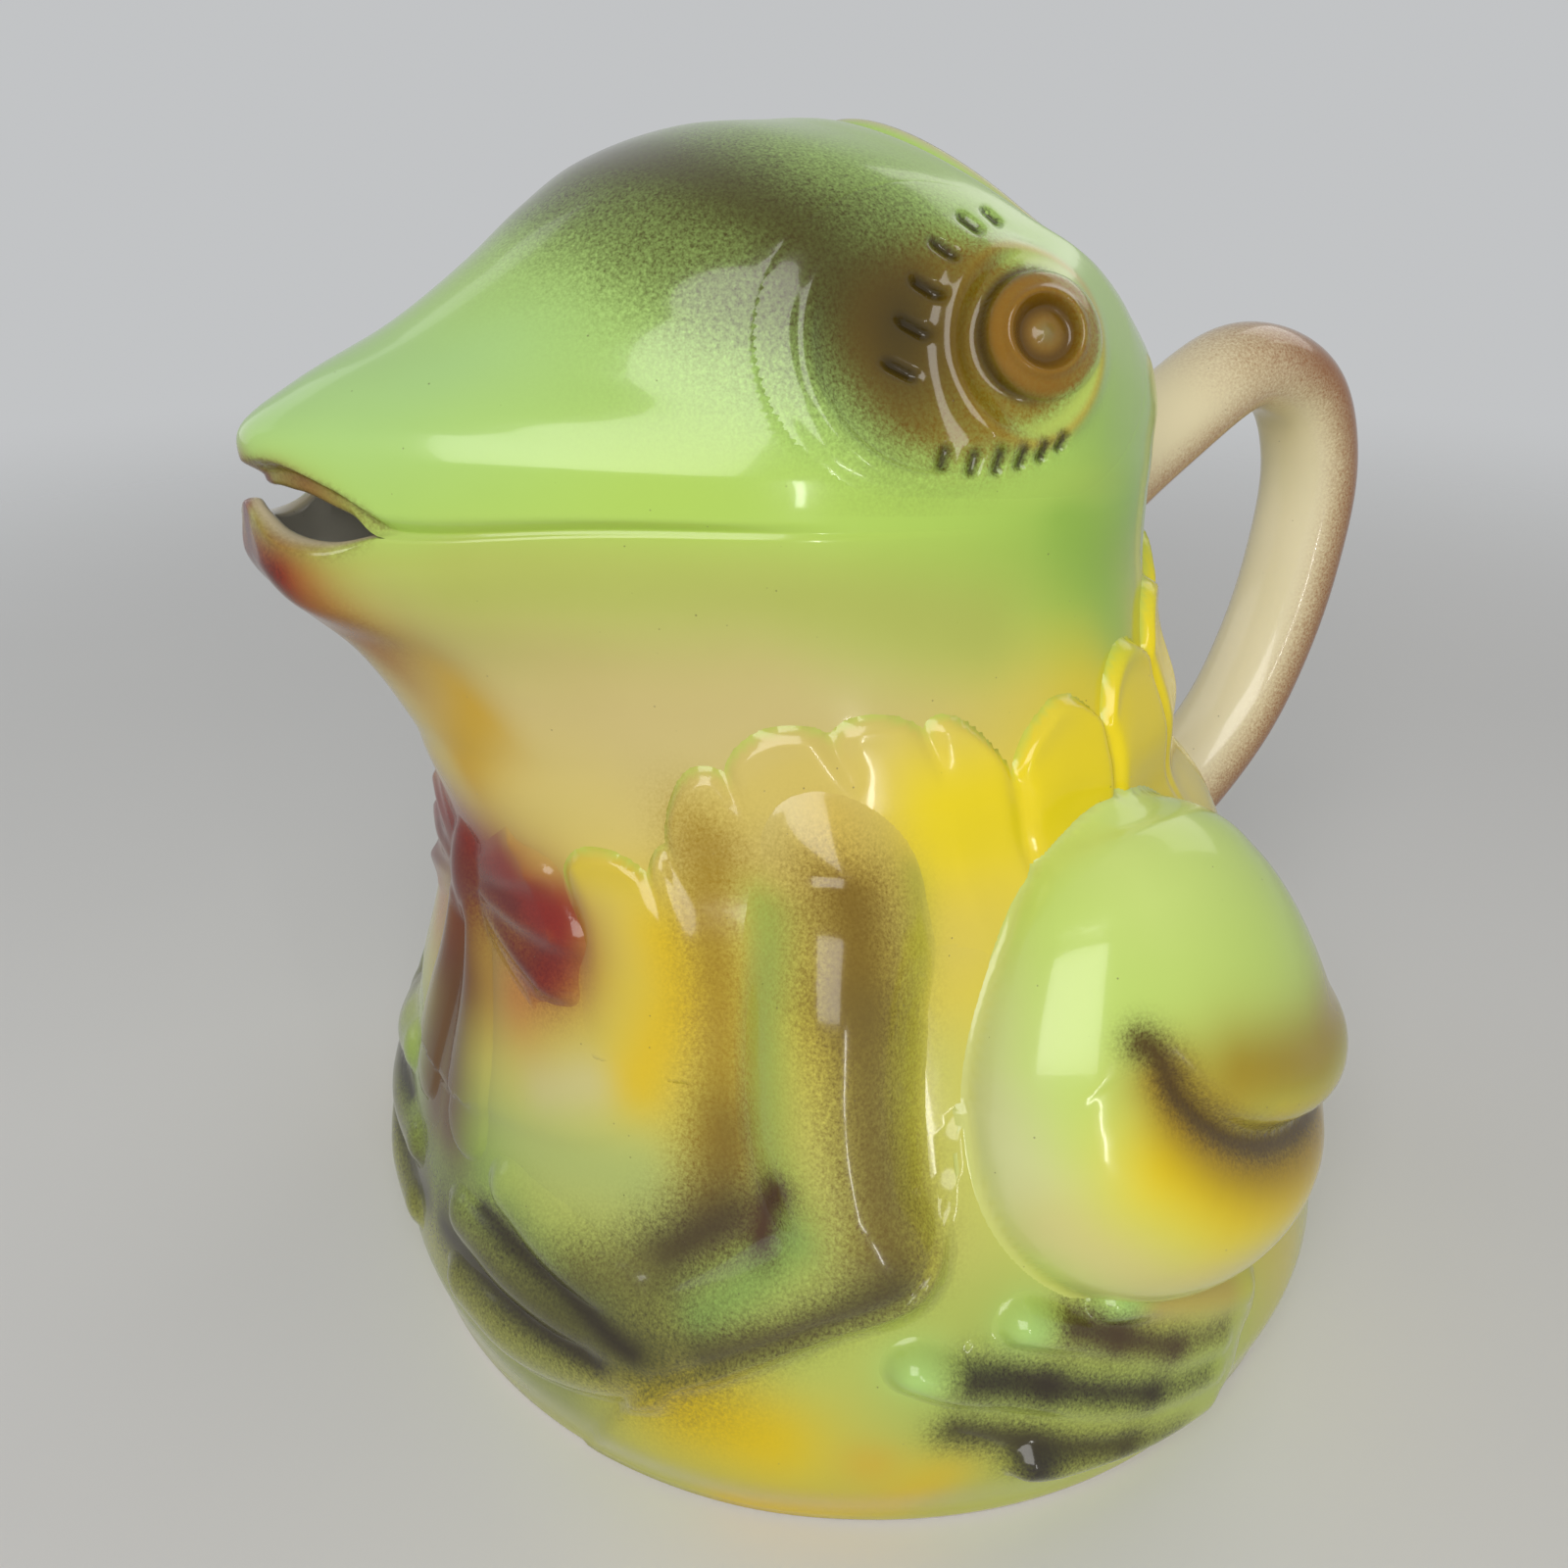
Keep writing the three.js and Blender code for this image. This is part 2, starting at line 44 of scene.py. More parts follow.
# Reach of the base in front, sideways and behind
R, SIDE, BACK = 86.0, 89.0, 91.0
SNOUT_REACH, CHEEK, NAPE = 99.0, 50.0, 46.0
WALL, FLOOR = 5.0, 6.0
RIM_TILT, MOUTH_TILT = np.radians(40), np.radians(3)
RIM_HALF_WIDTH, LIP_STEP = 27.0, 1.5
MOUTH_Z = 0.72 * HEIGHT
CROWN = 0.9975 * HEIGHT - MOUTH_Z
HINGE_Y = CROWN / np.tan(RIM_TILT) - 0.01 * HEIGHT
MOUTH_CORNER = 31.2
SUNK = 0.03
MM_PER_DEGREE = 1.35
FRONT_LIMIT = 98.2
PAD_DEPTH, EYE_DEPTH = 2.0, 2.6
HANDLE_REACH, HANDLE_HALF_WIDTH, HANDLE_HALF_DEPTH = 121.0, 10.0, 8.0
# Rows and columns of the grids
COLUMNS, RIM_ROWS, LIP_ROWS = 300, 8, 9
EYE_ROWS, EYE_COLUMNS = 200, 210
HANDLE_ROWS, HANDLE_COLUMNS, HANDLE_SMOOTHINGS = 140, 48, 60
TO_MM = np.array([MM_PER_DEGREE, 1])
MIRROR = np.array([-1, 1, 1])
RIM_UP = np.array([0, np.sin(RIM_TILT), np.cos(RIM_TILT)])


def smooth(a, b, x):
    """Soft step from 0 at a to 1 at b: the cubic 3 s^2 - 2 s^3."""
    s = np.clip((x - a) / (b - a), 0, 1)
    return s * s * (3 - 2 * s)


def folded(t):
    """Angle from the front in degrees, 0 to 180 on either side."""
    return np.abs((t + 180) % 360 - 180)


def through(*pairs):
    """Cubic curve through (place, value) pairs, with mean slopes at the pairs and flat ends."""
    x, y = np.array(pairs, float).T
    slope = np.zeros_like(y)
    slope[1:-1] = (y[2:] - y[:-2]) / (x[2:] - x[:-2])

    def curve(at):
        """Value at a place."""
        a = np.clip(at, x[0], x[-1])
        i = np.clip(np.searchsorted(x, a) - 1, 0, len(x) - 2)
        d = x[i + 1] - x[i]
        s = (a - x[i]) / d
        rise = y[i + 1] - y[i]
        bend = (1 - s) * (slope[i] * d - rise) - s * (slope[i + 1] * d - rise)
        return y[i] + rise * s + s * (1 - s) * bend

    return curve


def drawn(points, count=24):
    """Smooth path of count points through a few given ones."""
    p = np.array(points, float)
    s = np.linspace(0, 1, len(p))
    at = np.linspace(0, 1, count)
    return np.stack([through(*zip(s, p[:, k]))(at) for k in range(p.shape[1])], -1)


def nearest(u, z, path):
    """Distance from points (u, z) to a path, how far along it from 0 to 1, and the side (+1 is its left)."""
    p = np.asarray(path, float)
    d = np.diff(p, axis=0)
    q = np.stack([u, z], -1)[..., None, :] - p[:-1]
    s = np.clip((q * d).sum(-1) / ((d * d).sum(-1) + 1e-12), 0, 1)
    gap = np.linalg.norm(q - s[..., None] * d, axis=-1)
    i = gap.argmin(-1)
    pick = np.expand_dims(i, -1)
    length = np.linalg.norm(d, axis=1)
    start = np.cumsum(length) - length
    along = (start[i] + np.take_along_axis(s, pick, -1)[..., 0] * length[i]) / length.sum()
    turn = np.take_along_axis(d[:, 0] * q[..., 1] - d[:, 1] * q[..., 0], pick, -1)[..., 0]
    return np.take_along_axis(gap, pick, -1)[..., 0], along, np.sign(turn)


def merge(a, b, k):
    """The higher of two heights with a rounded join about k wide."""
    h = np.maximum(k - np.abs(a - b), 0) / k
    return np.maximum(a, b) + h * h * k / 4


# Skin of the trunk and head, the same curves as the solids
NECK = 0.845 * R


def throat(part):
    """Front reach at a part of the way from the neck to the snout."""
    return NECK + part * (SNOUT_REACH - NECK)


TIP, CREST, BEHIND = HINGE_Y + SNOUT_REACH, CROWN / np.sin(RIM_TILT), HINGE_Y - NAPE
trunk_front = through((0, .965 * R), (.1, R), (.31, .955 * R), (.51, .87 * R), (.66, NECK),
                      (.77, throat(.16)), (.8, throat(.22)), (.87, throat(.5)), (.925, throat(.92)),
                      (.96, throat(1.08)), (1, throat(1.08)))
trunk_side = through((0, .965 * SIDE), (.1, SIDE), (.31, .93 * SIDE), (.51, .8 * SIDE), (.63, .717 * SIDE),
                     (.7, .5 * (.717 * SIDE + CHEEK)), (.77, 1.1 * CHEEK), (.84, 1.03 * CHEEK),
                     (.92, .99 * CHEEK), (1, CHEEK))
trunk_back = through((0, .965 * BACK), (.1, BACK), (.31, .91 * BACK), (.51, .765 * BACK), (.63, .685 * BACK),
                     (.7, .5 * (.685 * BACK + NAPE)), (.77, 1.16 * NAPE), (.84, 1.07 * NAPE),
                     (.92, 1.02 * NAPE), (1, NAPE))
trunk_mid = through((0, 0), (.7, 0), (1, -.1 * CHEEK))
trunk_taper = through((0, 0), (.66, 0), (.82, .3), (.93, .46), (1, .46))
head_front = through((0, .993 * TIP), (.09, .993 * TIP), (.145, .953 * TIP), (.235, .876 * TIP),
                     (.343, .816 * TIP), (.47, .767 * TIP), (.58, .727 * TIP), (.73, .657 * TIP),
                     (.86, .583 * TIP), (1, CREST))
head_back = through((0, BEHIND), (.5, 1.08 * BEHIND), (1, 1.3 * BEHIND))
head_side = through((0, CHEEK), (.25, .995 * CHEEK), (.53, .93 * CHEEK), (.75, .8 * CHEEK), (.9, .66 * CHEEK),
                    (1, RIM_HALF_WIDTH))
head_mid = through((0, HINGE_Y + .1 * CHEEK), (.3, HINGE_Y + .1 * CHEEK), (.55, HINGE_Y),
                   (.8, HINGE_Y - .16 * CHEEK), (1, HINGE_Y - .24 * CHEEK))
head_taper = through((0, .46), (.1, .46), (.35, .16), (.55, -.12), (.8, -.22), (1, -.08))


def skin(t, v):
    """Outer skin: ovals round the axis, flat up to the mouth line, then fanning about a hinge behind."""
    t, v = np.broadcast_arrays(np.asarray(t, float), np.asarray(v, float))
    c, s = np.cos(t), np.sin(t)
    k, f = np.minimum(v, 1), np.maximum(v - 1, 0)
    head = v > 1
    mid = np.where(head, head_mid(f), HINGE_Y - trunk_mid(k))
    front = np.where(head, head_front(f) - mid, trunk_front(k) + trunk_mid(k))
    back = np.where(head, mid - head_back(f), trunk_back(k) - trunk_mid(k))
    side = np.where(head, head_side(f), trunk_side(k))
    taper = np.where(head, head_taper(f), trunk_taper(k))
    step = LIP_STEP * smooth(.25, .6, c) * smooth(.85, .985, v) * (1 - smooth(1, 1.03, v))
    inset = 1 - step / CHEEK
    reach = mid + c * np.where(c > 0, front, back) * inset
    x = side * s * inset * np.where(c > 0, 1 - taper * c * c, 1)
    tilt = MOUTH_TILT * smooth(.75, 1, k) + f * (RIM_TILT - MOUTH_TILT)
    return np.stack([x, HINGE_Y - reach * np.cos(tilt), k * MOUTH_Z + reach * np.sin(tilt)], -1)


def lip_skin(t, v):
    """The skin with the upper lip's edge drawn back under the snout between the mouth's corners."""
    back = (smooth(0, 9, MOUTH_CORNER - np.abs(np.degrees(t))) * (v <= 1))[..., None]
    return skin(t, v) * (1 - back) + skin(t, np.maximum(v, 1 + 1e-6)) * back


def sag(t, v):
    """Drop of the mouth line towards its corners in mm: a bell round 32 degrees, fading above and below."""
    bell = 2.4 * np.exp(-((np.abs(np.degrees(t)) - 32) / 15) ** 2)
    return bell * smooth(.88, 1, v) * (1 - smooth(1, 1.14, v))


def outward(t, v, e=0.004):
    """Unit normal of the skin: its step round crossed with its step up."""
    step_round = skin(t + e, v) - skin(t - e, v)
    step_up = skin(t, np.minimum(v + e, 2)) - skin(t, np.maximum(v - e, 0))
    n = np.cross(step_round, step_up)
    return n / np.linalg.norm(n, axis=-1, keepdims=True)


# Eye frame: its axis leans forwards from the skin
EYE_T, EYE_V = np.radians(82), 1.5
EYE_AT = skin(EYE_T, EYE_V)
EYE_AXIS = outward(EYE_T, EYE_V) + np.array([0, -.55, 0])
EYE_AXIS /= np.linalg.norm(EYE_AXIS)
EYE_ACROSS = np.cross([0, 0, 1], EYE_AXIS)
EYE_ACROSS /= np.linalg.norm(EYE_ACROSS)
EYE_UP = np.cross(EYE_AXIS, EYE_ACROSS)
BALL_OFFSET, BALL_RADIUS = 1.6, 8.6
# Lash marks in that frame: middle, direction and half length
LASHES = [
    ((-7.9, 16.6), (.80, -.60), 1.9), ((-11.8, 12.4), (.86, -.51), 2.1), ((-14.2, 7.2), (.90, -.43), 2.3),
    ((-16.0, 2.2), (.92, -.40), 2.4), ((-17.8, -3.2), (.92, -.40), 2.4), ((-4.2, 18.6), (.72, -.69), 1.6),
    ((-12.2, -14.6), (.30, .95), 1.7), ((-8.2, -15.2), (.26, .96), 1.8), ((-4.6, -14.9), (.26, .96), 1.8),
    ((-1.2, -14.2), (.32, .95), 1.7), ((1.9, -13.2), (.40, .92), 1.6), ((4.6, -11.9), (.48, .88), 1.4),
]


def in_eye(p):
    """Coordinates in the eye's frame: across, up and along its axis; both sides fold onto the left eye."""
    d = p * np.where(p[..., :1] < 0, MIRROR, 1) - EYE_AT
    return d @ EYE_ACROSS, d @ EYE_UP, d @ EYE_AXIS


def eye_patch(p):
    """Distance from the middle of the eye's patch, 1 at its oval edge, and whether it is the eye's side."""
    a, b, c = in_eye(p)
    return np.hypot((a + 8) / 30, b / 24), c > -26


def lash_place(a, b, at, way):
    """Distance along and across one lash mark in the eye's frame."""
    q = np.stack([a - at[0], b - at[1]], -1)
    return np.abs(q @ np.array(way)), q @ np.array([-way[1], way[0]])


def eye_relief(p, v, fine):
    """Height along the eye's axis over the skin.

    A carved socket in front, a mound behind, the lids and the eyeball; fine adds its rings and the lash marks.
    """
    a, b, c = in_eye(p)
    near = smooth(-28, -16, c) * (1 - smooth(20, 27, np.abs(b))) * (1 - smooth(17, 24, a))
    near = near * smooth(1.05, 1.16, v)
    x, y = (a + 13) / 16.6, b / 17
    e = x * x + y * y
    crisp = smooth(.05, .75, -(x * .72 + y * .69) / np.sqrt(e + 1e-6))
    dish = np.maximum(1 - e, 0) ** (2.0 - 1.25 * crisp)
    low = c - 4.2 * dish + 3.4 * np.exp(-((a - 9) / 7) ** 2 - (b / 12) ** 2)
    low = low + .7 * crisp * np.exp(-((np.sqrt(e) - 1.08) / .08) ** 2)
    lid = (np.hypot((a + .2) / 10.8, (b - .8) / 13.4) - 1) * 11.5
    left = smooth(-2, 7, -a)
    low = low + (.8 + .9 * left) * np.exp(-(lid / (1.2 + 1.0 * left)) ** 2)
    r = np.hypot(a - BALL_OFFSET, b - BALL_OFFSET)
    ball = 4.6 * np.sqrt(np.maximum(1 - (r / BALL_RADIUS) ** 2, 0)) - 2.4 * (1 - smooth(3.2, 5.2, r))
    ball = np.where(r < BALL_RADIUS, ball, 1.3 * (BALL_RADIUS - r)) - .9 - .28 * (a - BALL_OFFSET)
    ball = ball + fine * (.5 * np.exp(-((r - 5.4) / .6) ** 2) + .7 * np.exp(-(r / 1.2) ** 2))
    top = merge(low, ball, 2.2)
    if fine:
        for at, way, half in LASHES:
            along, wide = lash_place(a, b, at, way)
            top = top - 1.2 * np.exp(-(wide / .85) ** 2) * (1 - smooth(half * .5, half * 1.5, along))
    return (top - c) * near


# Low relief of the trunk itself and of the collar, as heights over the skin
LOBE_EDGE = drawn([(24, -4), (30, 12), (36, 25), (44, 34), (53, 41.5), (63, 48), (67, 60)])
CHEST_EDGE = drawn([(8, 54), (18, 56.5), (27, 59.5), (36, 68), (40, 80), (41.5, 94), (42, 106)])
CUSPS = np.array([24, 38.5, 42.7, 53.3, 66.2, 76, 84.3, 102.2, 122, 141, 160.5, 180])
DIPS = np.array([97.5, 101, 105.7, 115.3, 119.7, 119.6, 112.5, 115.1, 119.5, 125, 130, 132])
ARCHES = np.array([4.5, .8, 4, 3, 2.2, 4.2, 7, 7.5, 7.5, 7, 6.5])


def trunk_relief(t, z):
    """Raised base lobe in front of the foot and the chest panel's edge: soft steps across two drawn lines."""
    t = folded(t)
    u = t * MM_PER_DEGREE
    gap, _, side = nearest(u, z, LOBE_EDGE * TO_MM)
    lobe = (.6 + 1.4 * smooth(2, 18, z)) * smooth(-.9, .9, -gap * side)
    lobe = lobe * (1 - smooth(20, 48, gap)) * (1 - smooth(64, 74, t))
    gap, _, side = nearest(u, z, CHEST_EDGE * TO_MM)
    chest = .7 * smooth(-1.6, 1.6, gap * side) * (1 - smooth(10, 34, gap)) * (1 - smooth(96, 108, z))
    return lobe * (z < 70) + chest * (z > 45)


def collar_height(t, z):
    """Scalloped petals: a step under an edge that arches between cusps, fading downwards.

    Each cusp has a groove below it, and the long petals of the back are dished.
    """
    a = folded(t)
    i = np.clip(np.searchsorted(CUSPS, a, side="right") - 1, 0, len(ARCHES) - 1)
    s = np.clip((a - CUSPS[i]) / (CUSPS[i + 1] - CUSPS[i]), 0, 1)
    foot = DIPS[i] * (1 - s) + DIPS[i + 1] * s
    edge = foot + ARCHES[i] * np.sin(np.pi * s) ** .7
    depth = edge - z
    long = smooth(74, 90, a)
    wide = np.minimum(a - CUSPS[i], CUSPS[i + 1] - a) * 1.15
    groove = np.exp(-(wide / 1.5) ** 2) * smooth(-3, 2, depth)
    groove = groove * (1 - smooth(1 + 16 * long, 8 + 24 * long, depth))
    roll = 1 + .25 * np.exp(-((depth - 1.8) / 1.8) ** 2)
    body = (1.15 + .6 * long) * smooth(-.4, 1.7, depth) * roll * (1 - smooth(9, 34 + 6 * long, depth))
    dished = .5 * long * np.sin(np.pi * s) * smooth(4, 14, depth) * (1 - smooth(22, 36, depth))
    out = (body - dished) * (1 - .7 * groove)
    return out * smooth(24, 29, a) - .4 * smooth(.1, .6, -depth)


def place(t, v, h):
    """Point h above the trunk's relief, along the skin's normal; t in degrees."""
    r = np.radians(t)
    return skin(r, v) + outward(r, v) * (trunk_relief(t, v * MOUTH_Z) + h)[..., None]


def limb(u, z, path, half, rise, power):
    """Rounded ridge along a path: rise times (1 - (distance / half width)^2)^power, falling away outside."""
    gap, along, _ = nearest(u, z, drawn(path) * TO_MM)
    w = through(*zip(np.linspace(0, 1, len(half)), half))(along)
    h = through(*zip(np.linspace(0, 1, len(rise)), rise))(along)
    return np.where(gap < w, h * np.maximum(1 - (gap / w) ** 2, 0) ** power, 1.5 * (w - gap))


FINGERS = [[(37, 37), (29, 39.5), (22, 42.5), (16, 45)], [(36, 31.5), (27, 31.5), (18, 32.5), (8, 33.5)],
           [(35, 27), (26, 23), (17, 20.5), (8, 20)]]


def foreleg_field(t, z):
    """Upper arm, forearm and three fingers, joined by rounded valleys."""
    u = t * MM_PER_DEGREE
    upper = limb(u, z, [(62, 101.5), (60, 95), (57, 87), (55.3, 76), (55.2, 66), (56.6, 56)],
                 (10.5, 12, 12.8, 12.6, 12, 10.6), (5, 7.6, 9.4, 9.6, 9, 8.4), .9)
    fore = limb(u, z, [(59, 52), (52, 47), (46, 41.5), (40, 36), (34, 31)],
                (9.5, 8.2, 7.4, 7.2, 7), (8.4, 7.2, 6, 4.8, 3.8), .75)
    arm = merge(upper, fore, 2.6)
    fingers = [limb(u, z, path, (5.2, 5.2, 4.9, 3.6), (3.6, 3.2, 2.8, 1.7), .7) for path in FINGERS]
    hand = merge(merge(fingers[0], fingers[1], .8), fingers[2], .8)
    return merge(arm, hand, 3)


TOES = [[(97, 10), (90, 11), (82, 12.5), (74.5, 15.5)], [(97, 17), (86, 20), (74, 27), (62.5, 35)],
        [(98, 22), (91, 25.5), (83, 32), (74, 38.5)], [(103, 27), (97, 30), (91, 34), (84, 38)]]
WEBS = [[(97, 13), (88, 15), (78, 19), (68, 25)], [(98, 19), (90, 22), (82, 27), (69, 36)],
        [(101, 25), (96, 27), (90, 31), (80, 38)]]


def foot_field(t, z):
    """Four long toes with bulbous tips, fanning from the heel, webbed low between them."""
    u = t * MM_PER_DEGREE
    toes = [limb(u, z, path, (3.2, 3.2, 3.0, 3.8), (2.2, 2.4, 2.6, 3.9), .8) for path in TOES]
    webs = [limb(u, z, path, (6.5, 6.5, 5.5, 1.5), (1.9, 1.9, 1.5, .1), .9) for path in WEBS]
    web = merge(merge(webs[0], webs[1], 1.5), webs[2], 1.5)
    return merge(merge(merge(toes[0], toes[1], 1.2), merge(toes[2], toes[3], 1.2), 1.2), web, 1.5)


HAUNCH_AT, HAUNCH_HALF = (101.0, 69.0), (30.6, 36.0)
FOLD = drawn([(84.5, 80), (87, 76.5), (89, 69), (94.5, 61), (103, 55.5), (114, 53), (126, 54)])


def haunch_field(t, z):
    """Egg-shaped dome with a curled fold: the upper lobe ends in a rounded lip over the lower one."""
    x = (t - HAUNCH_AT[0]) / HAUNCH_HALF[0]
    y = (z - HAUNCH_AT[1]) / HAUNCH_HALF[1]
    x = x / (1 - .10 * y)
    e = x * x + y * y
    edge = (np.sqrt(e) - 1) * 33
    dome = np.where(e < 1, 17.6 * np.maximum(1 - e, 0) ** .55, -1.5 * edge)
    gap, along, side = nearest(t * MM_PER_DEGREE, z, FOLD * TO_MM)
    deep = through((0, 0), (.2, 2.6), (.5, 5.2), (.8, 5.6), (1, 5.0))(along)
    over = side > 0
    cut = np.where(over, np.exp(-(gap / 1.7) ** 1.5), np.exp(-(gap / 6.5) ** 1.4))
    lip = np.where(over, 1.3 * np.exp(-((gap - 6.5) / 4) ** 2) * smooth(.1, .5, along), 0)
    return dome + np.where(e < 1, (lip - deep * cut) * smooth(0, .35, 1 - e), 0)


BOW_MIDDLE, LOOP_HALF_ANGLE, PLEAT_ANGLE = 89.5, .42, .27
KNOT_HALF = (7.0, 8.5)


def bow_field(t, z):
    """Pleated bow in low relief: two loops fanning from a knot to three round pleats, and two hanging tails."""
    a = np.abs(t) * MM_PER_DEGREE
    y = z - BOW_MIDDLE
    angle = np.arctan2(y, a + 5)
    r = np.hypot(a + 5, y)
    pleat = np.cos(angle * 2 * np.pi / PLEAT_ANGLE)
    reach = 38.5 + 1.8 * pleat - 26 * np.maximum(np.abs(angle) - .15, 0)
    side = np.minimum((LOOP_HALF_ANGLE - np.abs(angle)) * r, reach - r)
    loop = (.8 + .036 * r) * np.clip(side / 5.5, 0, 1) ** .6 * (1 + .32 * pleat * smooth(8, 26, r))
    loop = np.where(side > 0, loop, .9 * side)
    across, up = a / KNOT_HALF[0], y / KNOT_HALF[1]
    knot = 2.8 * np.maximum(1 - across ** 2 - up ** 2, 0) ** .7
    knot = knot - 1.2 * np.maximum(np.hypot(across, up) - 1, 0) * KNOT_HALF[0]
    tail = limb(a, z, [(3, 84), (4.2, 74), (5.6, 62), (6.4, 50)],
                (3.6, 4.6, 5.4, 5.2), (2.2, 1.8, 1.4, .8), .9)
    return merge(merge(loop, knot, 2), tail, 2)


# Meshes
def triangles(rows, columns, closed):
    """Two triangles for each cell of a grid of rows and columns, the columns joined round when closed."""
    j, i = np.meshgrid(np.arange(rows - 1), np.arange(columns if closed else columns - 1), indexing="ij")
    k = (i + 1) % columns
    a, b, c, d = j * columns + i, j * columns + k, (j + 1) * columns + k, (j + 1) * columns + i
    return np.concatenate([np.stack([a, b, c], -1).reshape(-1, 3), np.stack([a, c, d], -1).reshape(-1, 3)])


def welded(points, faces, layers):
    """One mesh from separate grids: points that coincide become one, and faces that close up are dropped."""
    key = np.round(points * 1000).astype(np.int64)
    _, first, same = np.unique(key, axis=0, return_index=True, return_inverse=True)
    f = same.reshape(-1)[faces]
    keep = (f[:, 0] != f[:, 1]) & (f[:, 1] != f[:, 2]) & (f[:, 2] != f[:, 0])
    return points[first], f[keep], {k: v[first] for k, v in layers.items()}


def backed(top, back, faces, layers):
    """Closed sheet: the kept faces in front, the same faces behind, and a wall along the open edges."""
    n = len(top)
    edges = np.concatenate([faces[:, [0, 1]], faces[:, [1, 2]], faces[:, [2, 0]]])
    key = np.sort(edges, 1)
    _, where, count = np.unique(key[:, 0] * n + key[:, 1], return_index=True, return_counts=True)
    a, b = edges[where[count == 1]].T
    wall = np.concatenate([np.stack([b, a, a + n], -1), np.stack([b, a + n, b + n], -1)])
    every = np.concatenate([faces, faces[:, ::-1] + n, wall])
    used, index = np.unique(every, return_inverse=True)
    layers = {k: np.concatenate([v, v])[used] for k, v in layers.items()}
    return np.concatenate([top, back])[used], index.reshape(-1, 3), layers


def piece(name, points, faces, layers, node, slot, material):
    """Mesh object with its glaze layers as attributes, riding on the pitcher in place of a solid."""
    mesh = bpy.data.meshes.new(name)
    mesh.vertices.add(len(points))
    mesh.vertices.foreach_set("co", np.ascontiguousarray(points * .001, np.float32).ravel())
    mesh.loops.add(faces.size)
    mesh.loops.foreach_set("vertex_index", np.ascontiguousarray(faces, np.int32).ravel())
    mesh.polygons.add(len(faces))
    mesh.polygons.foreach_set("loop_start", np.arange(0, faces.size, 3, dtype=np.int32))
    mesh.update(calc_edges=True)
    mesh.polygons.foreach_set("use_smooth", np.ones(len(faces), bool))
    for key, values in layers.items():
        if values.ndim == 2:
            data = mesh.attributes.new(key, "FLOAT_COLOR", "POINT").data
            rgba = np.concatenate([values, np.ones((len(values), 1))], 1)
            data.foreach_set("color", rgba.astype(np.float32).ravel())
        else:
            mesh.attributes.new(key, "FLOAT", "POINT").data.foreach_set("value", values.astype(np.float32))
    mesh.validate()
    made = bpy.data.objects.new(name, mesh)
    bpy.context.scene.collection.objects.link(made)
    made.data.materials.append(material)
    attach(made, "root")
    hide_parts(node)


# Glaze colours (linear light)
class Coats:
    """Airbrushed colour over points (t, w), with some painted shade and painted highlight among it: ground
    coats, then sprays whose grain the shader draws.
    """

    def __init__(self, t, w, ground):
        self.u, self.w = folded(t) * MM_PER_DEGREE, w
        self.under = np.array(np.broadcast_to(ground, t.shape + (3,)))
        self.mix = np.full(t.shape + (3,), 1e-6)
        self.sum = np.full(t.shape, 1e-5)
        self.clear = np.ones(t.shape)

    def at(self, path, radius):
        """Weight by distance from a path or a single place: exp(-(distance / radius)^2)."""
        p = np.array(path, float) * TO_MM
        p = np.concatenate([p, p[-1:] + [[.01, 0]]]) if len(p) == 1 else p
        gap, _, _ = nearest(self.u, self.w, p)
        return np.exp(-(gap / radius) ** 2)

    def coat(self, colour, path, radius, amount=1.0):
        """Ground colour along a path."""
        self.wash(colour, amount * self.at(path, radius))

    def wash(self, colour, weight):
        """Ground colour by weight."""
        self.under += (np.array(colour) - self.under) * np.clip(weight, 0, 1)[..., None]

    def spray(self, colour, path, radius, amount=1.0):
        """Sprayed colour along a path."""
        self.mist(colour, amount * self.at(path, radius))

    def mist(self, colour, weight):
        """Sprayed colour by weight."""
        weight = np.clip(weight, 0, 1)
        self.mix += (np.array(colour) - self.mix) * weight[..., None]
        self.sum += (1 - self.sum) * weight
        self.clear *= 1 - weight

    def wipe(self, weight):
        """Takes spray off by weight."""
        self.clear = 1 - (1 - self.clear) * (1 - np.clip(weight, 0, 1))

    def layers(self):
        """Attributes for the glaze: ground colour, spray colour and how much spray there is."""
        over = self.mix / self.sum[..., None]
        return {"under": self.under.reshape(-1, 3), "over": over.reshape(-1, 3),
                "spray": (1 - self.clear).ravel()}


# Ground colours of the front and of the back at levels w
LEVELS = [0, 18, 45, 62, 85, 104, 122, 133, 141, 147, 160, 200, 250, 290]
FRONT_GROUND = np.array([(.46, .46, .06), (.50, .50, .08), (.46, .52, .12), (.58, .57, .13), (.70, .58, .08),
                         (.66, .53, .14), (.61, .50, .19), (.52, .50, .14), (.46, .53, .11), (.45, .66, .13),
                         (.43, .66, .17), (.42, .64, .17), (.40, .62, .15), (.42, .60, .16)])
BACK_GROUND = np.array([(.46, .48, .07), (.52, .52, .08), (.56, .56, .09), (.62, .58, .07), (.74, .61, .04),
                        (.80, .63, .03), (.76, .63, .04), (.45, .60, .08), (.34, .57, .08), (.33, .57, .09),
                        (.36, .60, .11), (.40, .62, .14), (.42, .62, .16), (.42, .60, .16)])


def ground(t, w):
    """Ground colour by level, from the front's colours to the back's over the flank."""
    f = np.stack([np.interp(w, LEVELS, FRONT_GROUND[:, k]) for k in range(3)], -1)
    b = np.stack([np.interp(w, LEVELS, BACK_GROUND[:, k]) for k in range(3)], -1)
    return f + (b - f) * smooth(68, 104, folded(t))[..., None]


OLIVE, GOLD_BROWN, DARK_BROWN = (.060, .048, .004), (.25, .135, .001), (.050, .034, .003)
MAROON, NEAR_BLACK, RED = (.075, .034, .014), (.030, .022, .012), (.27, .014, .005)


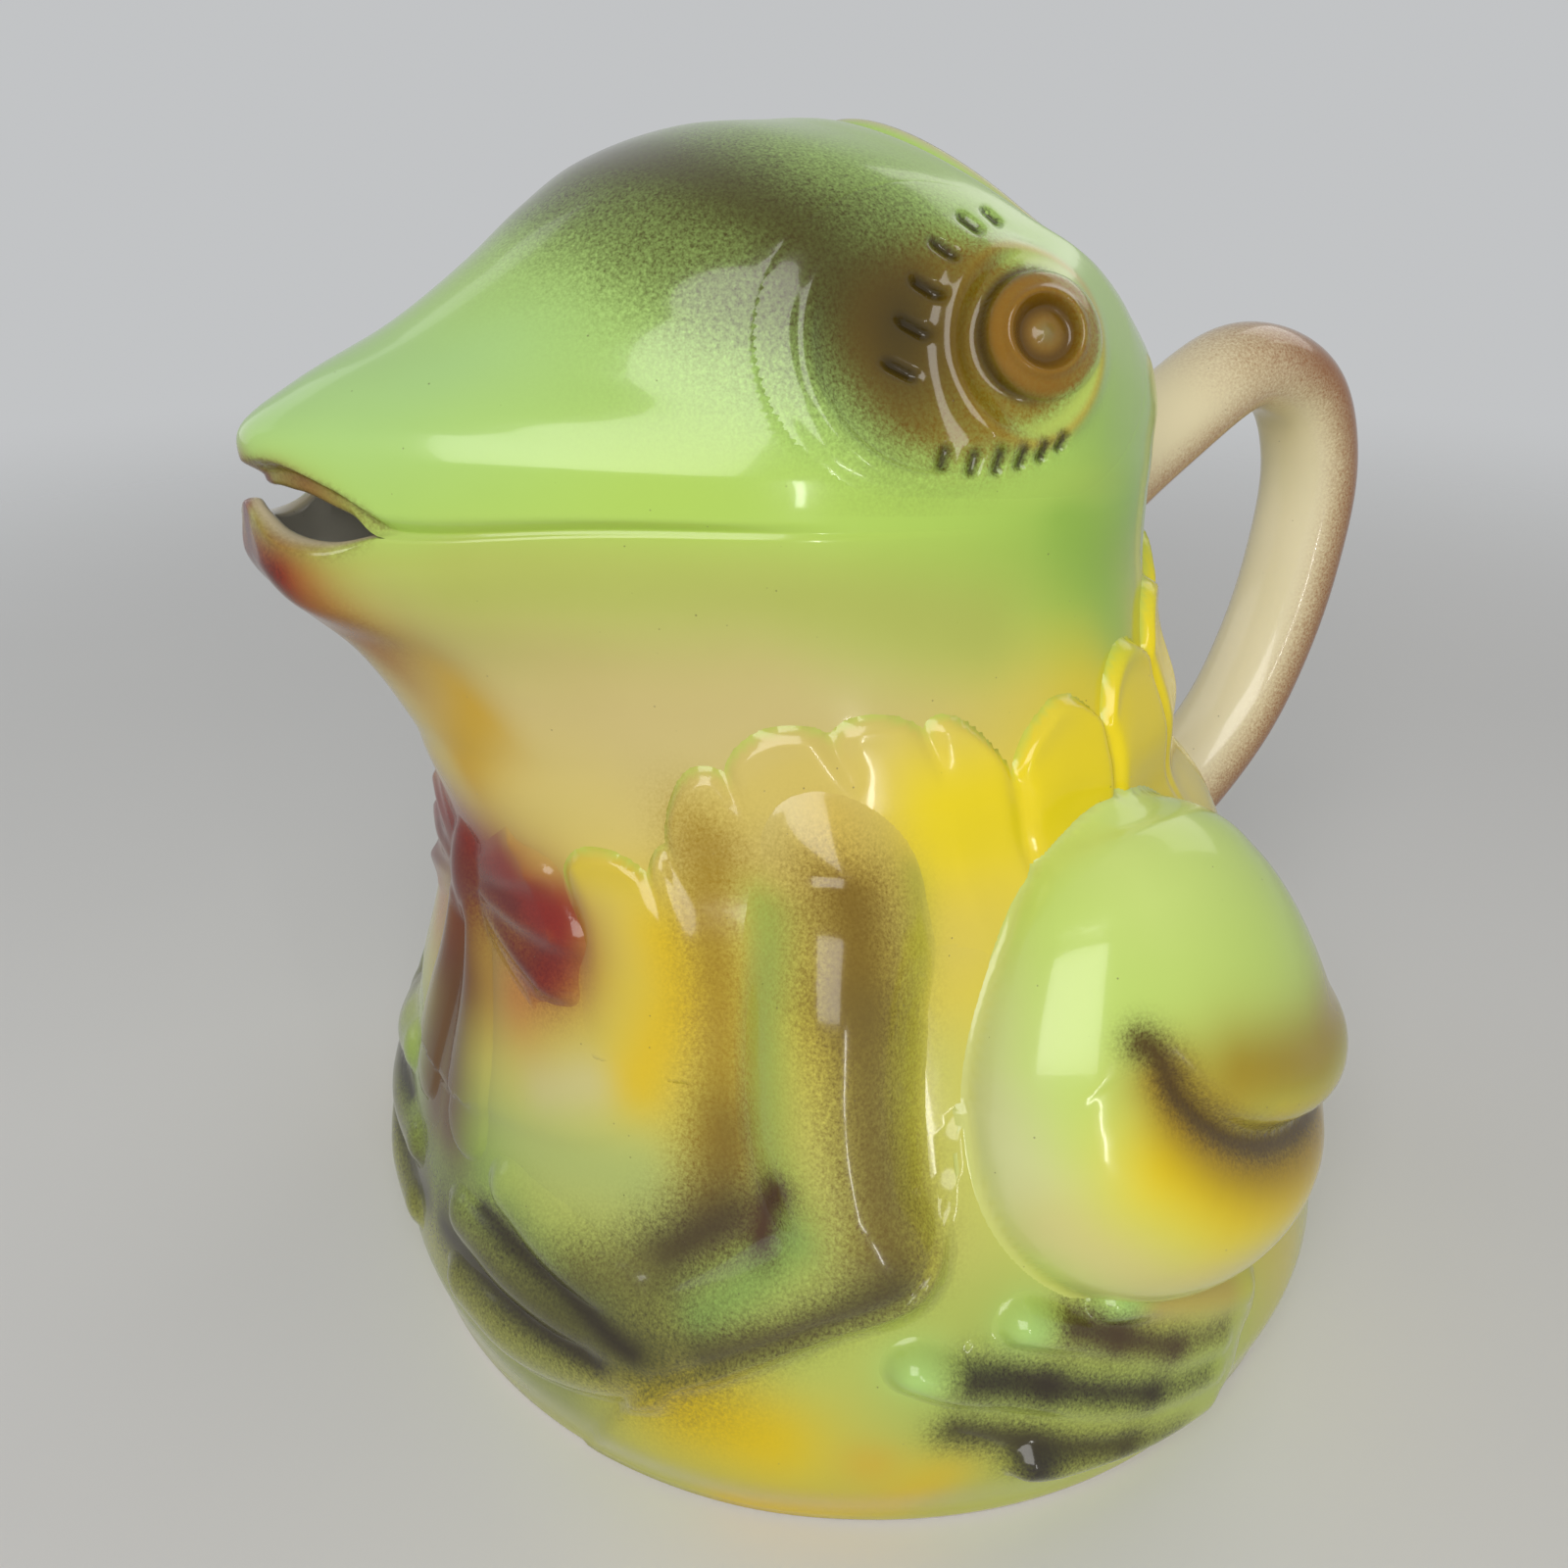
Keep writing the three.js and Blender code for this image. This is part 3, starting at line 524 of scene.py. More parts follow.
def trunk_coats(t, w, p):
    """Colours of the trunk and head by place, with painted shadow at the front of the base."""
    g = Coats(t, w, ground(t, w))
    g.coat((.47, .68, .11), [(60, 152), (85, 152), (98, 160)], 20, .8)
    g.coat((.40, .63, .24), [(0, 165), (22, 172)], 18, .8)
    g.coat((.32, .55, .07), [(98, 146), (108, 136), (113, 127)], 10, .8)
    g.coat((.45, .50, .10), [(40, 139), (66, 137), (84, 131)], 6, .7)
    g.coat((.60, .49, .19), [(46, 121), (62, 123)], 10, .8)
    g.coat((.44, .33, .11), [(16, 130), (26, 128)], 7, .7)
    g.coat((.58, .35, .012), [(25, 121), (14, 113)], 6, .85)
    g.coat((.80, .62, .02), [(74, 106), (90, 106), (112, 112)], 9, .8)
    g.coat((.58, .58, .13), [(67, 74), (66, 52)], 8, .8)
    g.coat((.74, .52, .015), [(38, 92), (38, 84), (33, 71)], 7, .95)
    g.coat((.62, .57, .27), [(26, 68), (20, 64)], 5, .7)
    g.coat((.42, .50, .15), [(0, 50), (20, 54), (33, 57)], 7, .85)
    g.coat((.30, .48, .09), [(0, 36), (10, 44)], 9, .8)
    # Painted shadow: dark grey-green at the front of the base, below the hand.
    g.coat((.25, .29, .11), [(0, 8), (14, 10), (24, 14)], 10, .8)
    g.coat((.69, .50, .004), [(48, 22), (41, 24)], 10, 1)
    g.coat((.46, .53, .10), [(53, 38), (62, 44), (68, 40)], 8, .85)
    g.coat((.62, .40, .03), [(58.5, 19)], 4.5, .8)
    g.coat((.68, .47, .01), [(45, 3), (60, 8), (65, 16)], 6, .85)
    g.coat((.44, .50, .10), [(76, 8), (100, 10)], 9, .8)
    g.coat((.66, .52, .04), [(108, 36), (116, 22)], 9, .7)
    g.coat((.42, .20, .03), [(20, 137), (14, 130)], 8, .85)
    g.coat(RED, [(0, 143), (0, 135), (15, 138.5)], 8.5, 1)
    g.spray((.085, .007, .004), [(0, 141), (3, 136), (13, 137.5)], 5, .85)
    g.spray((.30, .13, .02), [(0, 128), (20, 133)], 5, .5)
    g.spray((.15, .085, .012), [(0, 147), (14, 146.6), (28, 146)], 2.0, .8)
    g.spray(OLIVE, [(0, 230), (20, 230), (40, 225), (56, 213), (64, 206)], 23, .95)
    g.spray(OLIVE, [(2, 214), (26, 207), (46, 200)], 11, .4)
    a, b, c = in_eye(p)
    eye = np.where((w > 150) & (c > -24), 1.0, 0.0)
    away = np.maximum(np.hypot((a + 9) / 18, (b + .5) / 16.5) - .66, 0)
    g.mist(GOLD_BROWN, eye * .86 * np.exp(-(away / .26) ** 2))
    g.mist(DARK_BROWN, eye * .9 * np.exp(-((a + 18) / 9.5) ** 2 - ((b - 2) / 14) ** 2))
    bow_colours(g)
    arm_colours(g)
    foot_colours(g)
    return g


def bow_colours(g):
    """Red sprayed wider than the bow, running down into brown over its tails."""
    g.coat((.52, .13, .03), [(20, 84), (14, 76)], 9, .7)
    g.coat((.26, .020, .012), [(0, 97), (12, 95), (22, 91)], 9.5, .98)
    g.coat((.15, .022, .014), [(0, 88), (2, 74)], 10, .95)
    g.coat((.115, .042, .016), [(0, 68), (2, 56), (2, 46)], 9.5, .95)
    g.spray((.13, .012, .010), [(0, 92), (10, 89), (18, 84)], 7, .75)


def arm_colours(g):
    """Foreleg: green flanks, brown down the front, a dark patch in the crook, painted shade over the hand, dark
    grooves between fingers.
    """
    g.spray((.34, .21, .012), [(48, 106), (44, 94), (43.2, 80), (42.5, 66)], 6.2, .85)
    g.spray((.20, .125, .014), [(44, 66), (42, 56)], 6, .85)
    g.spray((.060, .038, .012), [(44.5, 54), (40.5, 51), (37, 47)], 6.0, .98)
    g.spray((.15, .12, .03), [(34, 43), (29, 41)], 5.0, .7)
    g.coat((.40, .50, .09), [(51.5, 97), (49, 84), (48.6, 68), (50.4, 58)], 4.4, .95)
    g.coat((.54, .50, .06), [(70, 100), (65, 84), (63.6, 66), (63.4, 52)], 3.2, .9)
    g.coat((.66, .48, .08), [(63, 110), (62, 103)], 6, .8)
    g.coat((.30, .46, .10), [(51, 54), (46, 47), (42, 41.5)], 4.2, .95)
    g.wipe(.55 * g.at([(50.5, 96), (48.6, 84), (48.4, 68), (50, 56), (45.5, 47), (42, 42)], 3.2))
    g.spray((.20, .115, .006), [(61.5, 99), (58.8, 88)], 8, .95)
    g.spray((.17, .115, .020), [(59, 84), (58.8, 70), (59.8, 54)], 7.2, .9)
    g.spray((.075, .055, .015), [(60, 49), (51, 42), (43, 36)], 4.6, .93)
    g.spray(MAROON, [(49.3, 60.5), (48, 57), (47.4, 53)], 3.0, 1)
    # Painted shade: dark olive over the hand and fingers.
    g.spray((.075, .072, .020), [(36, 33), (22, 31), (4, 28)], 11, .95)
    g.coat((.26, .36, .09), [(30, 38), (18, 43)], 4, .7)
    g.spray(NEAR_BLACK, [(3, 26.5), (18, 26.6), (31, 27.5)], 2.4, .95)
    g.spray(NEAR_BLACK, [(12, 38.5), (25, 36.5), (35, 32.5)], 2.2, .95)


WEB_PAINT = [[(68, 33), (76, 28.5), (88, 21)], [(79, 37), (84, 33), (91, 27)],
             [(66.5, 24), (74, 19), (85, 13.5)]]
WEB_COLOURS = [(.034, .025, .013), (.070, .042, .015), (.055, .046, .013)]


def foot_colours(g):
    """Hind foot: green toe tips and dark webs between the toes, fading towards the heel."""
    g.coat((.36, .46, .10), [(66, 30), (80, 26), (96, 20)], 11, .8)
    for path in TOES[1:]:
        g.coat((.40, .62, .17), [path[-1]], 4.4, .95)
    g.coat((.50, .34, .09), [(90, 36), (99, 31)], 4, .7)
    for path, colour in zip(WEB_PAINT, WEB_COLOURS):
        p = np.array(path)
        g.spray(colour, p[:2], 3.4, .97)
        g.spray(colour, p[1:], 3.0, .94)
        g.spray(colour, [p[-1], p[-1] + [7, -2.4]], 2.4, .6)
    g.spray((.028, .022, .018), [TOES[0][-1]], 3.8, .97)


def eye_coats(t, w, p):
    """Head's colours, with pale green between ball and lid, a brown ball with a dark ring, and dark lashes."""
    g = trunk_coats(t, w, p)
    a, b, _ = in_eye(p)
    r = np.hypot(a - BALL_OFFSET, b - BALL_OFFSET)
    lid = np.hypot((a + .2) / 10.6, (b - .8) / 13.4)
    between = np.exp(-((lid - .86) / .11) ** 2) * smooth(-4, 5, a + .8 * np.abs(b) - 6) * smooth(7.5, 8.6, r)
    g.wipe(.9 * between)
    g.wash((.46, .58, .11), between)
    g.wash((.52, .42, .06), .8 * np.exp(-((lid - 1) / .06) ** 2))
    g.mist((.27, .12, .003), .8 * (1 - smooth(7.4, 8.4, r)))
    g.mist((.085, .042, .003), .85 * np.exp(-((r - 3.4) / 1.3) ** 2))
    g.mist((.05, .028, .003), .85 * np.exp(-((r - 8.8) / .9) ** 2) * smooth(-5, 4, -a))
    g.mist((.24, .22, .09), .7 * np.exp(-(r / 1.5) ** 2))
    for at, way, half in LASHES:
        along, wide = lash_place(a, b, at, way)
        stroke = .92 * np.exp(-(wide / .8) ** 2) * (1 - smooth(half * .6, half * 1.4, along))
        g.mist((.028, .018, .003), stroke)
    return g


def limb_coats(t, w, p, h):
    """Forelegs and feet, in the trunk's colours at their place whatever their height h."""
    return trunk_coats(t, w, p)


def haunch_coats(t, w, p, h):
    """Thigh: light green above, yellow below the fold, with painted shade along the fold: gold-brown on the
    upper lobe's lip, brown below the fold and a dark line in the crease.
    """
    g = Coats(t, w, (.54, .71, .16))
    g.coat((.62, .76, .22), [(92, 98), (102, 101)], 11, .9)
    g.coat((.61, .64, .30), [(72, 90), (70, 76), (73, 60)], 7, .95)
    g.coat((.62, .58, .24), [(76, 54), (86, 43), (100, 37)], 6, .9)
    g.coat((.84, .63, .006), [(87, 60), (94, 51), (104, 46), (116, 44), (128, 48)], 9.5, 1)
    g.coat((.50, .66, .12), [(120, 84), (128, 72)], 9, .6)
    # Painted shade: gold-brown on the lower side of the upper lobe, where it curls over the fold.
    g.coat((.36, .24, .008), [(95, 69), (106, 64.5), (122, 64)], 8, .92)
    g.coat((.56, .46, .03), [(99, 60.5), (108, 57.5), (120, 56.5)], 2.2, .7)
    # Painted shade: brown below the fold and a near-black line in the crease under the lip.
    g.coat((.38, .23, .004), FOLD[4:] + [0, -5.0], 5.4, .9)
    g.spray((.075, .040, .003), FOLD[2:] + [0, -1.8], 2.7, .97)
    g.wash((.58, .58, .14), .6 * (1 - smooth(.4, 2.4, h)))
    return g


def collar_coats(t, w, p, h):
    """Petals: yellow over the back, ochre in front, with a green tint along their upper edge."""
    g = trunk_coats(t, w, p)
    g.coat((.86, .68, .006), [(76, 108), (90, 110), (105, 112), (130, 120), (180, 124)], 11, .95)
    g.coat((.66, .52, .12), [(46, 108), (56, 113), (64, 116)], 6, .8)
    g.coat((.66, .50, .03), [(29, 101), (36, 101)], 4, .8)
    edge = np.interp(folded(t), CUSPS, DIPS)
    g.wash((.48, .60, .10), .7 * (1 - smooth(.05, .9, h)) * smooth(-3, 2, w - edge))
    return g


def bow_coats(t, w, p, h):
    """Bow: red, with painted highlight in orange on the crests of the outer pleats, and dark in two of the
    grooves.
    """
    g = trunk_coats(t, w, p)
    g.coat((.24, .020, .014), [(13, 96), (22, 92), (20, 82)], 6, .9)
    # Painted highlight: orange on the high crests of the outer pleats.
    g.wash((.60, .17, .04), .7 * smooth(2.2, 3.2, h) * smooth(19, 25, np.abs(t)))
    g.coat((.11, .014, .012), [(8, 92), (15, 91)], 1.6, .7)
    g.coat((.11, .014, .012), [(10, 86.5), (17, 82)], 1.4, .7)
    return g


def handle_coats(s, out):
    """Cream, with brown sprayed on the outside of the loop and under its upper root."""
    g = Coats(np.zeros(s.shape), np.zeros(s.shape), (.80, .70, .45))
    g.mist((.30, .11, .028), .96 * smooth(-.85, .45, out) * smooth(.16, .36, s) * (1 - smooth(.92, 1.0, s)))
    g.mist((.40, .17, .05), .9 * smooth(-.3, .7, -out) * (1 - smooth(.14, .38, s)))
    g.wash((.84, .78, .58), .7 * smooth(.2, .9, -out) * smooth(.3, .5, s))
    return g


# Shader sums
class Value:
    """A shader socket that takes part in sums: each sum adds a Math node to its tree."""

    def __init__(self, tree, socket):
        self.tree, self.socket = tree, socket

    def math(self, operation, *terms):
        """One Math node over its terms."""
        return self.node("ShaderNodeMath", {"operation": operation}, dict(enumerate(terms)))

    def node(self, kind, settings, inputs, output=0):
        """Any node: its type, its settings, then the values or links of its sockets by name or number."""
        made = self.tree.nodes.new(kind)
        for key, value in settings.items():
            setattr(made, key, value)
        for key, value in inputs.items():
            found = made.inputs[key] if isinstance(key, int) else next(
                s for s in made.inputs if key in (s.identifier, s.name) and s.enabled)
            if isinstance(value, Value):
                self.tree.links.new(value.socket, found)
            else:
                found.default_value = value
        found = made.outputs[output] if isinstance(output, int) else next(
            s for s in made.outputs if output in (s.identifier, s.name) and s.enabled)
        return Value(self.tree, found)

    def __add__(self, other):
        return self.math("ADD", self, other)

    __radd__ = __add__

    def __sub__(self, other):
        return self.math("SUBTRACT", self, other)

    def __rsub__(self, other):
        return self.math("SUBTRACT", other, self)

    def __mul__(self, other):
        return self.math("MULTIPLY", self, other)

    __rmul__ = __mul__

    def held(self):
        """Kept between 0 and 1."""
        return self.math("MINIMUM", self.math("MAXIMUM", self, 0.0), 1.0)

    def step(self, low, high):
        """Soft step from 0 at low to 1 at high."""
        return self.node("ShaderNodeMapRange", {"interpolation_type": "SMOOTHSTEP"},
                         {"Value": self, "From Min": low, "From Max": high})

    def mix(self, a, b):
        """Colour from a to b, with this value as the share of b."""
        return self.node("ShaderNodeMix", {"data_type": "RGBA"},
                         {"Factor_Float": self, "A_Color": a, "B_Color": b}, "Result_Color")


def blank_material(name):
    """New material with an empty node tree, and a value to make its nodes from."""
    material = bpy.data.materials.new(name)
    material.use_nodes = True
    material.node_tree.nodes.clear()
    return material, Value(material.node_tree, None)


def show(shader):
    """Leads a shader to its material's surface."""
    out = shader.tree.nodes.new("ShaderNodeOutputMaterial")
    shader.tree.links.new(shader.socket, out.inputs["Surface"])


def glaze(name, grain=1.0):
    """Gloss glaze: airbrush grain where the spray is thin, soft clouding, pinholes and a faintly wavy coat."""
    material, v = blank_material(name)
    at = v.node("ShaderNodeTexCoord", {}, {}, "Object")
    under = v.node("ShaderNodeAttribute", {"attribute_name": "under"}, {}, "Color")
    over = v.node("ShaderNodeAttribute", {"attribute_name": "over"}, {}, "Color")
    spray = v.node("ShaderNodeAttribute", {"attribute_name": "spray"}, {}, "Fac")

    def noise(scale, detail):
        """Soft noise of that many cells a metre."""
        return v.node("ShaderNodeTexNoise", {}, {"Vector": at, "Scale": scale, "Detail": detail}, "Fac")

    dust = noise(1900.0, 1.0) * .6 + noise(3400.0, 1.0) * .4
    cloud = noise(70.0, 3.0)
    thin = spray * (1.0 - spray) * 4.0
    cover = (spray + (dust - .5) * thin * (1.5 * grain) + (cloud - .5) * thin * .25).held()
    shade = ((cloud - .35) * .5).held() * .5
    tone = v.node("ShaderNodeMix", {"data_type": "RGBA", "blend_type": "MULTIPLY"},
                  {"Factor_Float": shade, "A_Color": under, "B_Color": (.80, .84, .62, 1)}, "Result_Color")
    cells = v.node("ShaderNodeTexVoronoi", {}, {"Vector": at, "Scale": 360.0}, "Distance")
    pick = noise(230.0, 0.0)
    hole = (1.0 - cells.step(.03, .07)) * pick.step(.52, .62)
    painted = cover.mix(tone, over)
    colour = (hole * .55).mix(painted, (.09, .06, .02, 1))
    wave = noise(38.0, 1.0) * .8 + noise(420.0, 1.0) * .05 - hole * .12
    bump = v.node("ShaderNodeBump", {}, {"Strength": .35, "Distance": .0011, "Height": wave})
    shader = v.node("ShaderNodeBsdfPrincipled", {}, {
        "Base Color": colour, "Roughness": .13 + cloud * .10 + hole * .3, "Coat Weight": .30,
        "Coat Roughness": .045, "Specular IOR Level": .28, "Normal": bump})
    show(shader)
    return material


# Pieces
def build_body(material):
    """Body: foot, outer skin, rounded rim and lining as grids round the axis, with lips in the mouth slit."""
    deg = np.linspace(-180, 180, COLUMNS, endpoint=False)
    t = np.radians(deg)
    lip_down = through((0, .3), (7, 1.6), (15, 3.4), (24, 2.9), (MOUTH_CORNER, 0))(np.abs(deg))
    lip_up = through((0, 2.9), (7, 4.0), (15, 4.6), (24, 3.0), (MOUTH_CORNER, 0))(np.abs(deg))
    thin = (WALL - 2.4) * (1 - smooth(26, 38, np.abs(deg)))
    m = np.flatnonzero(np.abs(deg) <= MOUTH_CORNER + .01)

    def parted(p, T, V, lower):
        """The mouth line sags, the lips part, and the top edge drops to make room for the rim."""
        p[..., 2] -= sag(T, V)
        if lower:
            p[..., 2] -= lip_down * smooth(.91, 1, V)
        else:
            p[..., 2] += lip_up * (1 - smooth(1, 1.11, V))
        return p - RIM_UP * (WALL / 2 * smooth(1.9, 2, V))[..., None]

    def outer(v, lower):
        """Outer skin with the trunk's relief, the eye's mound lowered under its patch, and a full lower lip."""
        T, V = np.meshgrid(t, v)
        D = np.degrees(T)
        p = skin(T, V) if lower else lip_skin(T, V)
        h = np.where(V <= 1, trunk_relief(D, V * MOUTH_Z), 0)
        p = p + outward(T, V) * h[..., None]
        r, near = eye_patch(p)
        under = (1 - smooth(.86, .96, r)) * near * (1 - smooth(1.78, 1.84, V))
        rise = eye_relief(p, V, 0) - 1.9 * under * smooth(1.08, 1.2, V)
        p = p + np.where(p[..., :1] < 0, EYE_AXIS * MIRROR, EYE_AXIS) * rise[..., None]
        p = parted(p, T, V, lower)
        if lower:
            full = 2.4 * np.exp(-((np.abs(D) - 18) / 10) ** 2) * smooth(.885, .94, V)
            full = full * smooth(0, 9, MOUTH_CORNER - np.abs(D))
            p += outward(T, np.minimum(V, .97), .03) * full[..., None]
        p[..., 1] = np.maximum(p[..., 1], -FRONT_LIMIT)
        return p, D, V

    def lining(v, lower):
        """Inside of the wall: the skin moved in by the wall, thinner at the lips."""
        T, V = np.meshgrid(t, v)
        wall = WALL - thin * smooth(.84, .97, V) * (1 - (V > 1)) - .8 * (V > 1) * (1 - smooth(1.03, 1.16, V))
        p = (skin(T, V) if lower else lip_skin(T, V)) - outward(T, V, .05) * wall[..., None]
        return parted(p, T, V, lower)

    levels = np.concatenate([[.012, .022], np.linspace(.035, .88, 98), np.linspace(.885, 1, 26)])
    low, D1, V1 = outer(levels, True)
    high, D2, V2 = outer(np.concatenate([np.linspace(1, 1.06, 14), np.linspace(1.068, 2, 98)]), False)
    edge = skin(t, 0)
    ring = ((0, 1.4), (.84, 1.4), (.87, 1.1), (.885, .15), (.90, 0), (.972, 0), (.988, .25), (.996, .8))
    foot = np.stack([edge * [k, k, 0] + [0, 0, z] for k, z in ring])
    down = lining(np.linspace(2, 1, 28), False)
    mid, half = (high[-1] + down[0]) / 2, (high[-1] - down[0]) / 2
    rim = np.stack([mid + half * np.cos(a) + RIM_UP * WALL / 2 * np.sin(a)
                    for a in np.linspace(0, np.pi, RIM_ROWS)[1:-1]])
    deep = lining(np.linspace(1, .09, 30), True)
    bowl = ((.985, 9), (.95, 7), (.88, FLOOR), (.5, FLOOR), (0, FLOOR))
    floor = np.stack([deep[-1] * [k, k, 0] + [0, 0, z] for k, z in bowl])

    def lips(start, end, bulge):
        """Half an oval from one edge of the wall to the other, bulging up, or down where bulge is negative."""
        a = np.linspace(0, np.pi, LIP_ROWS)[:, None, None]
        mid, half = (start + end) / 2, (start - end) / 2
        return mid + half * np.cos(a) + np.array([0, 0, 1.0]) * (bulge[:, None] * np.sin(a))

    room = lip_up + lip_down
    lower_lip = lips(low[-1][m], deep[0][m], np.minimum(1.1, .2 * room)[m])
    upper_lip = lips(down[-1][m], high[0][m], -np.minimum(2.2, .3 * room)[m])
    pale = np.array((.52, .50, .42))

    def coloured(p, D, V):
        """Layers of the trunk's colours."""
        return trunk_coats(D, V * MOUTH_Z, p).layers()

    def lip_coats(p, s, colour):
        """Lip: the skin's colour outside, where s is 0, then its edge colour, then the pale lining."""
        D = np.broadcast_to(deg[m], p.shape[:2])
        g = trunk_coats(D, np.full(p.shape[:2], MOUTH_Z), np.broadcast_to(skin(t[m], 1), p.shape))
        s = np.broadcast_to(s[:, None], p.shape[:2])
        g.wash(colour, smooth(.15, .5, s))
        g.wash(pale, smooth(.55, 1, s))
        g.wipe(smooth(.25, .6, s))
        return g.layers()

    def plain(p, colour):
        """Layers of one colour."""
        zero = np.zeros(p.shape[:2])
        return Coats(zero, zero, colour).layers()

    points, faces, layers = [], [], {"under": [], "over": [], "spray": []}

    def take(p, made, closed):
        """Adds one grid with its layers."""
        rows, columns = p.shape[:2]
        faces.append(triangles(rows, columns, closed) + sum(len(q) for q in points))
        points.append(p.reshape(-1, 3))
        for k in layers:
            layers[k].append(made[k])

    def stack(*parts):
        """Layers of grids that follow each other."""
        return {k: np.concatenate([q[k] for q in parts]) for k in layers}

    take(np.concatenate([foot, low]), stack(plain(foot, (.70, .62, .46)), coloured(low, D1, V1)), True)
    take(np.concatenate([high, rim, down]),
         stack(coloured(high, D2, V2), plain(rim, (.55, .55, .30)), plain(down, pale)), True)
    take(np.concatenate([deep, floor]), stack(plain(deep, pale), plain(floor, pale)), True)
    across = np.linspace(0, 1, len(lower_lip))
    take(lower_lip, lip_coats(lower_lip, across, (.62, .54, .36)), False)
    take(upper_lip, lip_coats(upper_lip, 1 - across, (.40, .30, .16)), False)
    layers = {k: np.concatenate(v) for k, v in layers.items()}
    shape = welded(np.concatenate(points), np.concatenate(faces), layers)
    piece("frog_body", *shape, "body_shell", "body_glaze", material)


def relief(field, coats, span, step, blend, beneath, margin=.6):
    """Patch of raised clay on the trunk: a field merged into what lies beneath, trimmed where it sinks in."""
    (t0, t1), (z0, z1) = span
    t = np.linspace(t0, t1, int((t1 - t0) * MM_PER_DEGREE / step) + 1)
    z = np.linspace(z0, z1, int((z1 - z0) / step) + 1)
    D, Z = np.meshgrid(t, z)
    under = beneath(D, Z)
    rise = field(D, Z)
    h = merge(rise, under, blend)
    h = h - 3 * SUNK * (1 - smooth(0, .5, h - under)) - SUNK
    flat = place(D, Z / MOUTH_Z, np.zeros_like(D))
    top = place(D, Z / MOUTH_Z, h)
    back = place(D, Z / MOUTH_Z, np.minimum(under, 0) - PAD_DEPTH)
    f = triangles(*D.shape, False)
    keep = (rise > under - blend - margin).ravel()[f].any(1)
    made = coats(D, Z, flat, h).layers()
    return backed(top.reshape(-1, 3), back.reshape(-1, 3), f[keep], made)


def both(name, shape, node, slot, material):
    """The left piece as worked out, and the right one as its mirror image."""
    p, f, layers = shape
    piece("left_" + name, p, f, layers, "left_" + node, slot, material)
    piece("right_" + name, p * MIRROR, f[:, ::-1], layers, "right_" + node, slot, material)


def eye_shape():
    """Eye patch: the skin near the eye moved along the eye's axis by its fine relief, sunk at its border."""
    D, V = np.meshgrid(np.linspace(38, 116, EYE_COLUMNS), np.linspace(1.06, 1.985, EYE_ROWS))
    T = np.radians(D)
    p = skin(T, V)
    r, near = eye_patch(p)
    inside = (r < 1.0) & near & (V < 1.88)
    h = eye_relief(p, V, 1)
    p[..., 2] -= sag(T, V)
    border = np.maximum.reduce([smooth(.94, .985, r), 1 - smooth(1.065, 1.1, V), smooth(1.84, 1.87, V)])
    top = p + EYE_AXIS * (h - 4 * SUNK * border)[..., None]
    back = p + EYE_AXIS * (np.minimum(h, 0) - EYE_DEPTH)[..., None]
    f = triangles(*D.shape, False)
    keep = inside.ravel()[f].all(1)
    made = eye_coats(D, V * MOUTH_Z, p).layers()
    return backed(top.reshape(-1, 3), back.reshape(-1, 3), f[keep], made)


def build_handle(material):
    """Loop handle: an oval carried along its path, swelling where it grows out of the body."""
    span = HANDLE_REACH - HANDLE_HALF_DEPTH - NAPE
    way = np.array([(-.12, .655), (.28, .715), (.62, .785), (.89, .75), (1, .655), (.94, .52), (.8, .41),
                    (.58, .335), (.3, .29)])
    knots = np.stack([NAPE + way[:, 0] * span, way[:, 1] * HEIGHT], -1)
    gap = np.concatenate([[0], np.cumsum(np.linalg.norm(np.diff(knots, axis=0), axis=1) ** .5)])
    s = np.linspace(0, 1, HANDLE_ROWS)
    line = np.stack([np.interp(s * gap[-1], gap, knots[:, k]) for k in (0, 1)], -1)
    for _ in range(HANDLE_SMOOTHINGS):
        line[1:-1] = .25 * line[:-2] + .5 * line[1:-1] + .25 * line[2:]
    tangent = np.gradient(line, axis=0)
    tangent /= np.linalg.norm(tangent, axis=1, keepdims=True)
    out = np.stack([-tangent[:, 1], tangent[:, 0]], -1)
    swell = 1 + .55 * np.exp(-(s / .085) ** 2) + .30 * np.exp(-((1 - s) / .08) ** 2)
    angle = np.linspace(0, 2 * np.pi, HANDLE_COLUMNS, endpoint=False)
    c, sn = np.cos(angle), np.sin(angle)
    x = HANDLE_HALF_WIDTH * np.sqrt(swell)[:, None] * np.sign(c) * np.abs(c) ** .92
    d = HANDLE_HALF_DEPTH * swell[:, None] * np.sign(sn) * np.abs(sn) ** .92
    yz = line[:, None, :] + out[:, None, :] * d[..., None]
    p = np.concatenate([x[..., None], yz], -1)
    first, last = p[:1].mean(1, keepdims=True), p[-1:].mean(1, keepdims=True)
    p = np.concatenate([np.broadcast_to(first, p[:1].shape), p, np.broadcast_to(last, p[:1].shape)])
    side = np.broadcast_to(sn, p.shape[:2])
    ss = np.broadcast_to(np.concatenate([[0], s, [1]])[:, None], p.shape[:2])
    made = handle_coats(ss, side).layers()
    shape = welded(p.reshape(-1, 3), triangles(*p.shape[:2], True)[:, ::-1], made)
    piece("loop_handle", *shape, "handle", "handle_glaze", material)


def bare(t, z):
    """Nothing beneath but the trunk."""
    return np.zeros_like(t)


def on_collar(t, z):
    """The collar beneath, where it stands above the trunk."""
    return np.maximum(collar_height(t, z), 0)


def just_below(t, z):
    """A hair below the trunk."""
    return np.full_like(t, -.05)


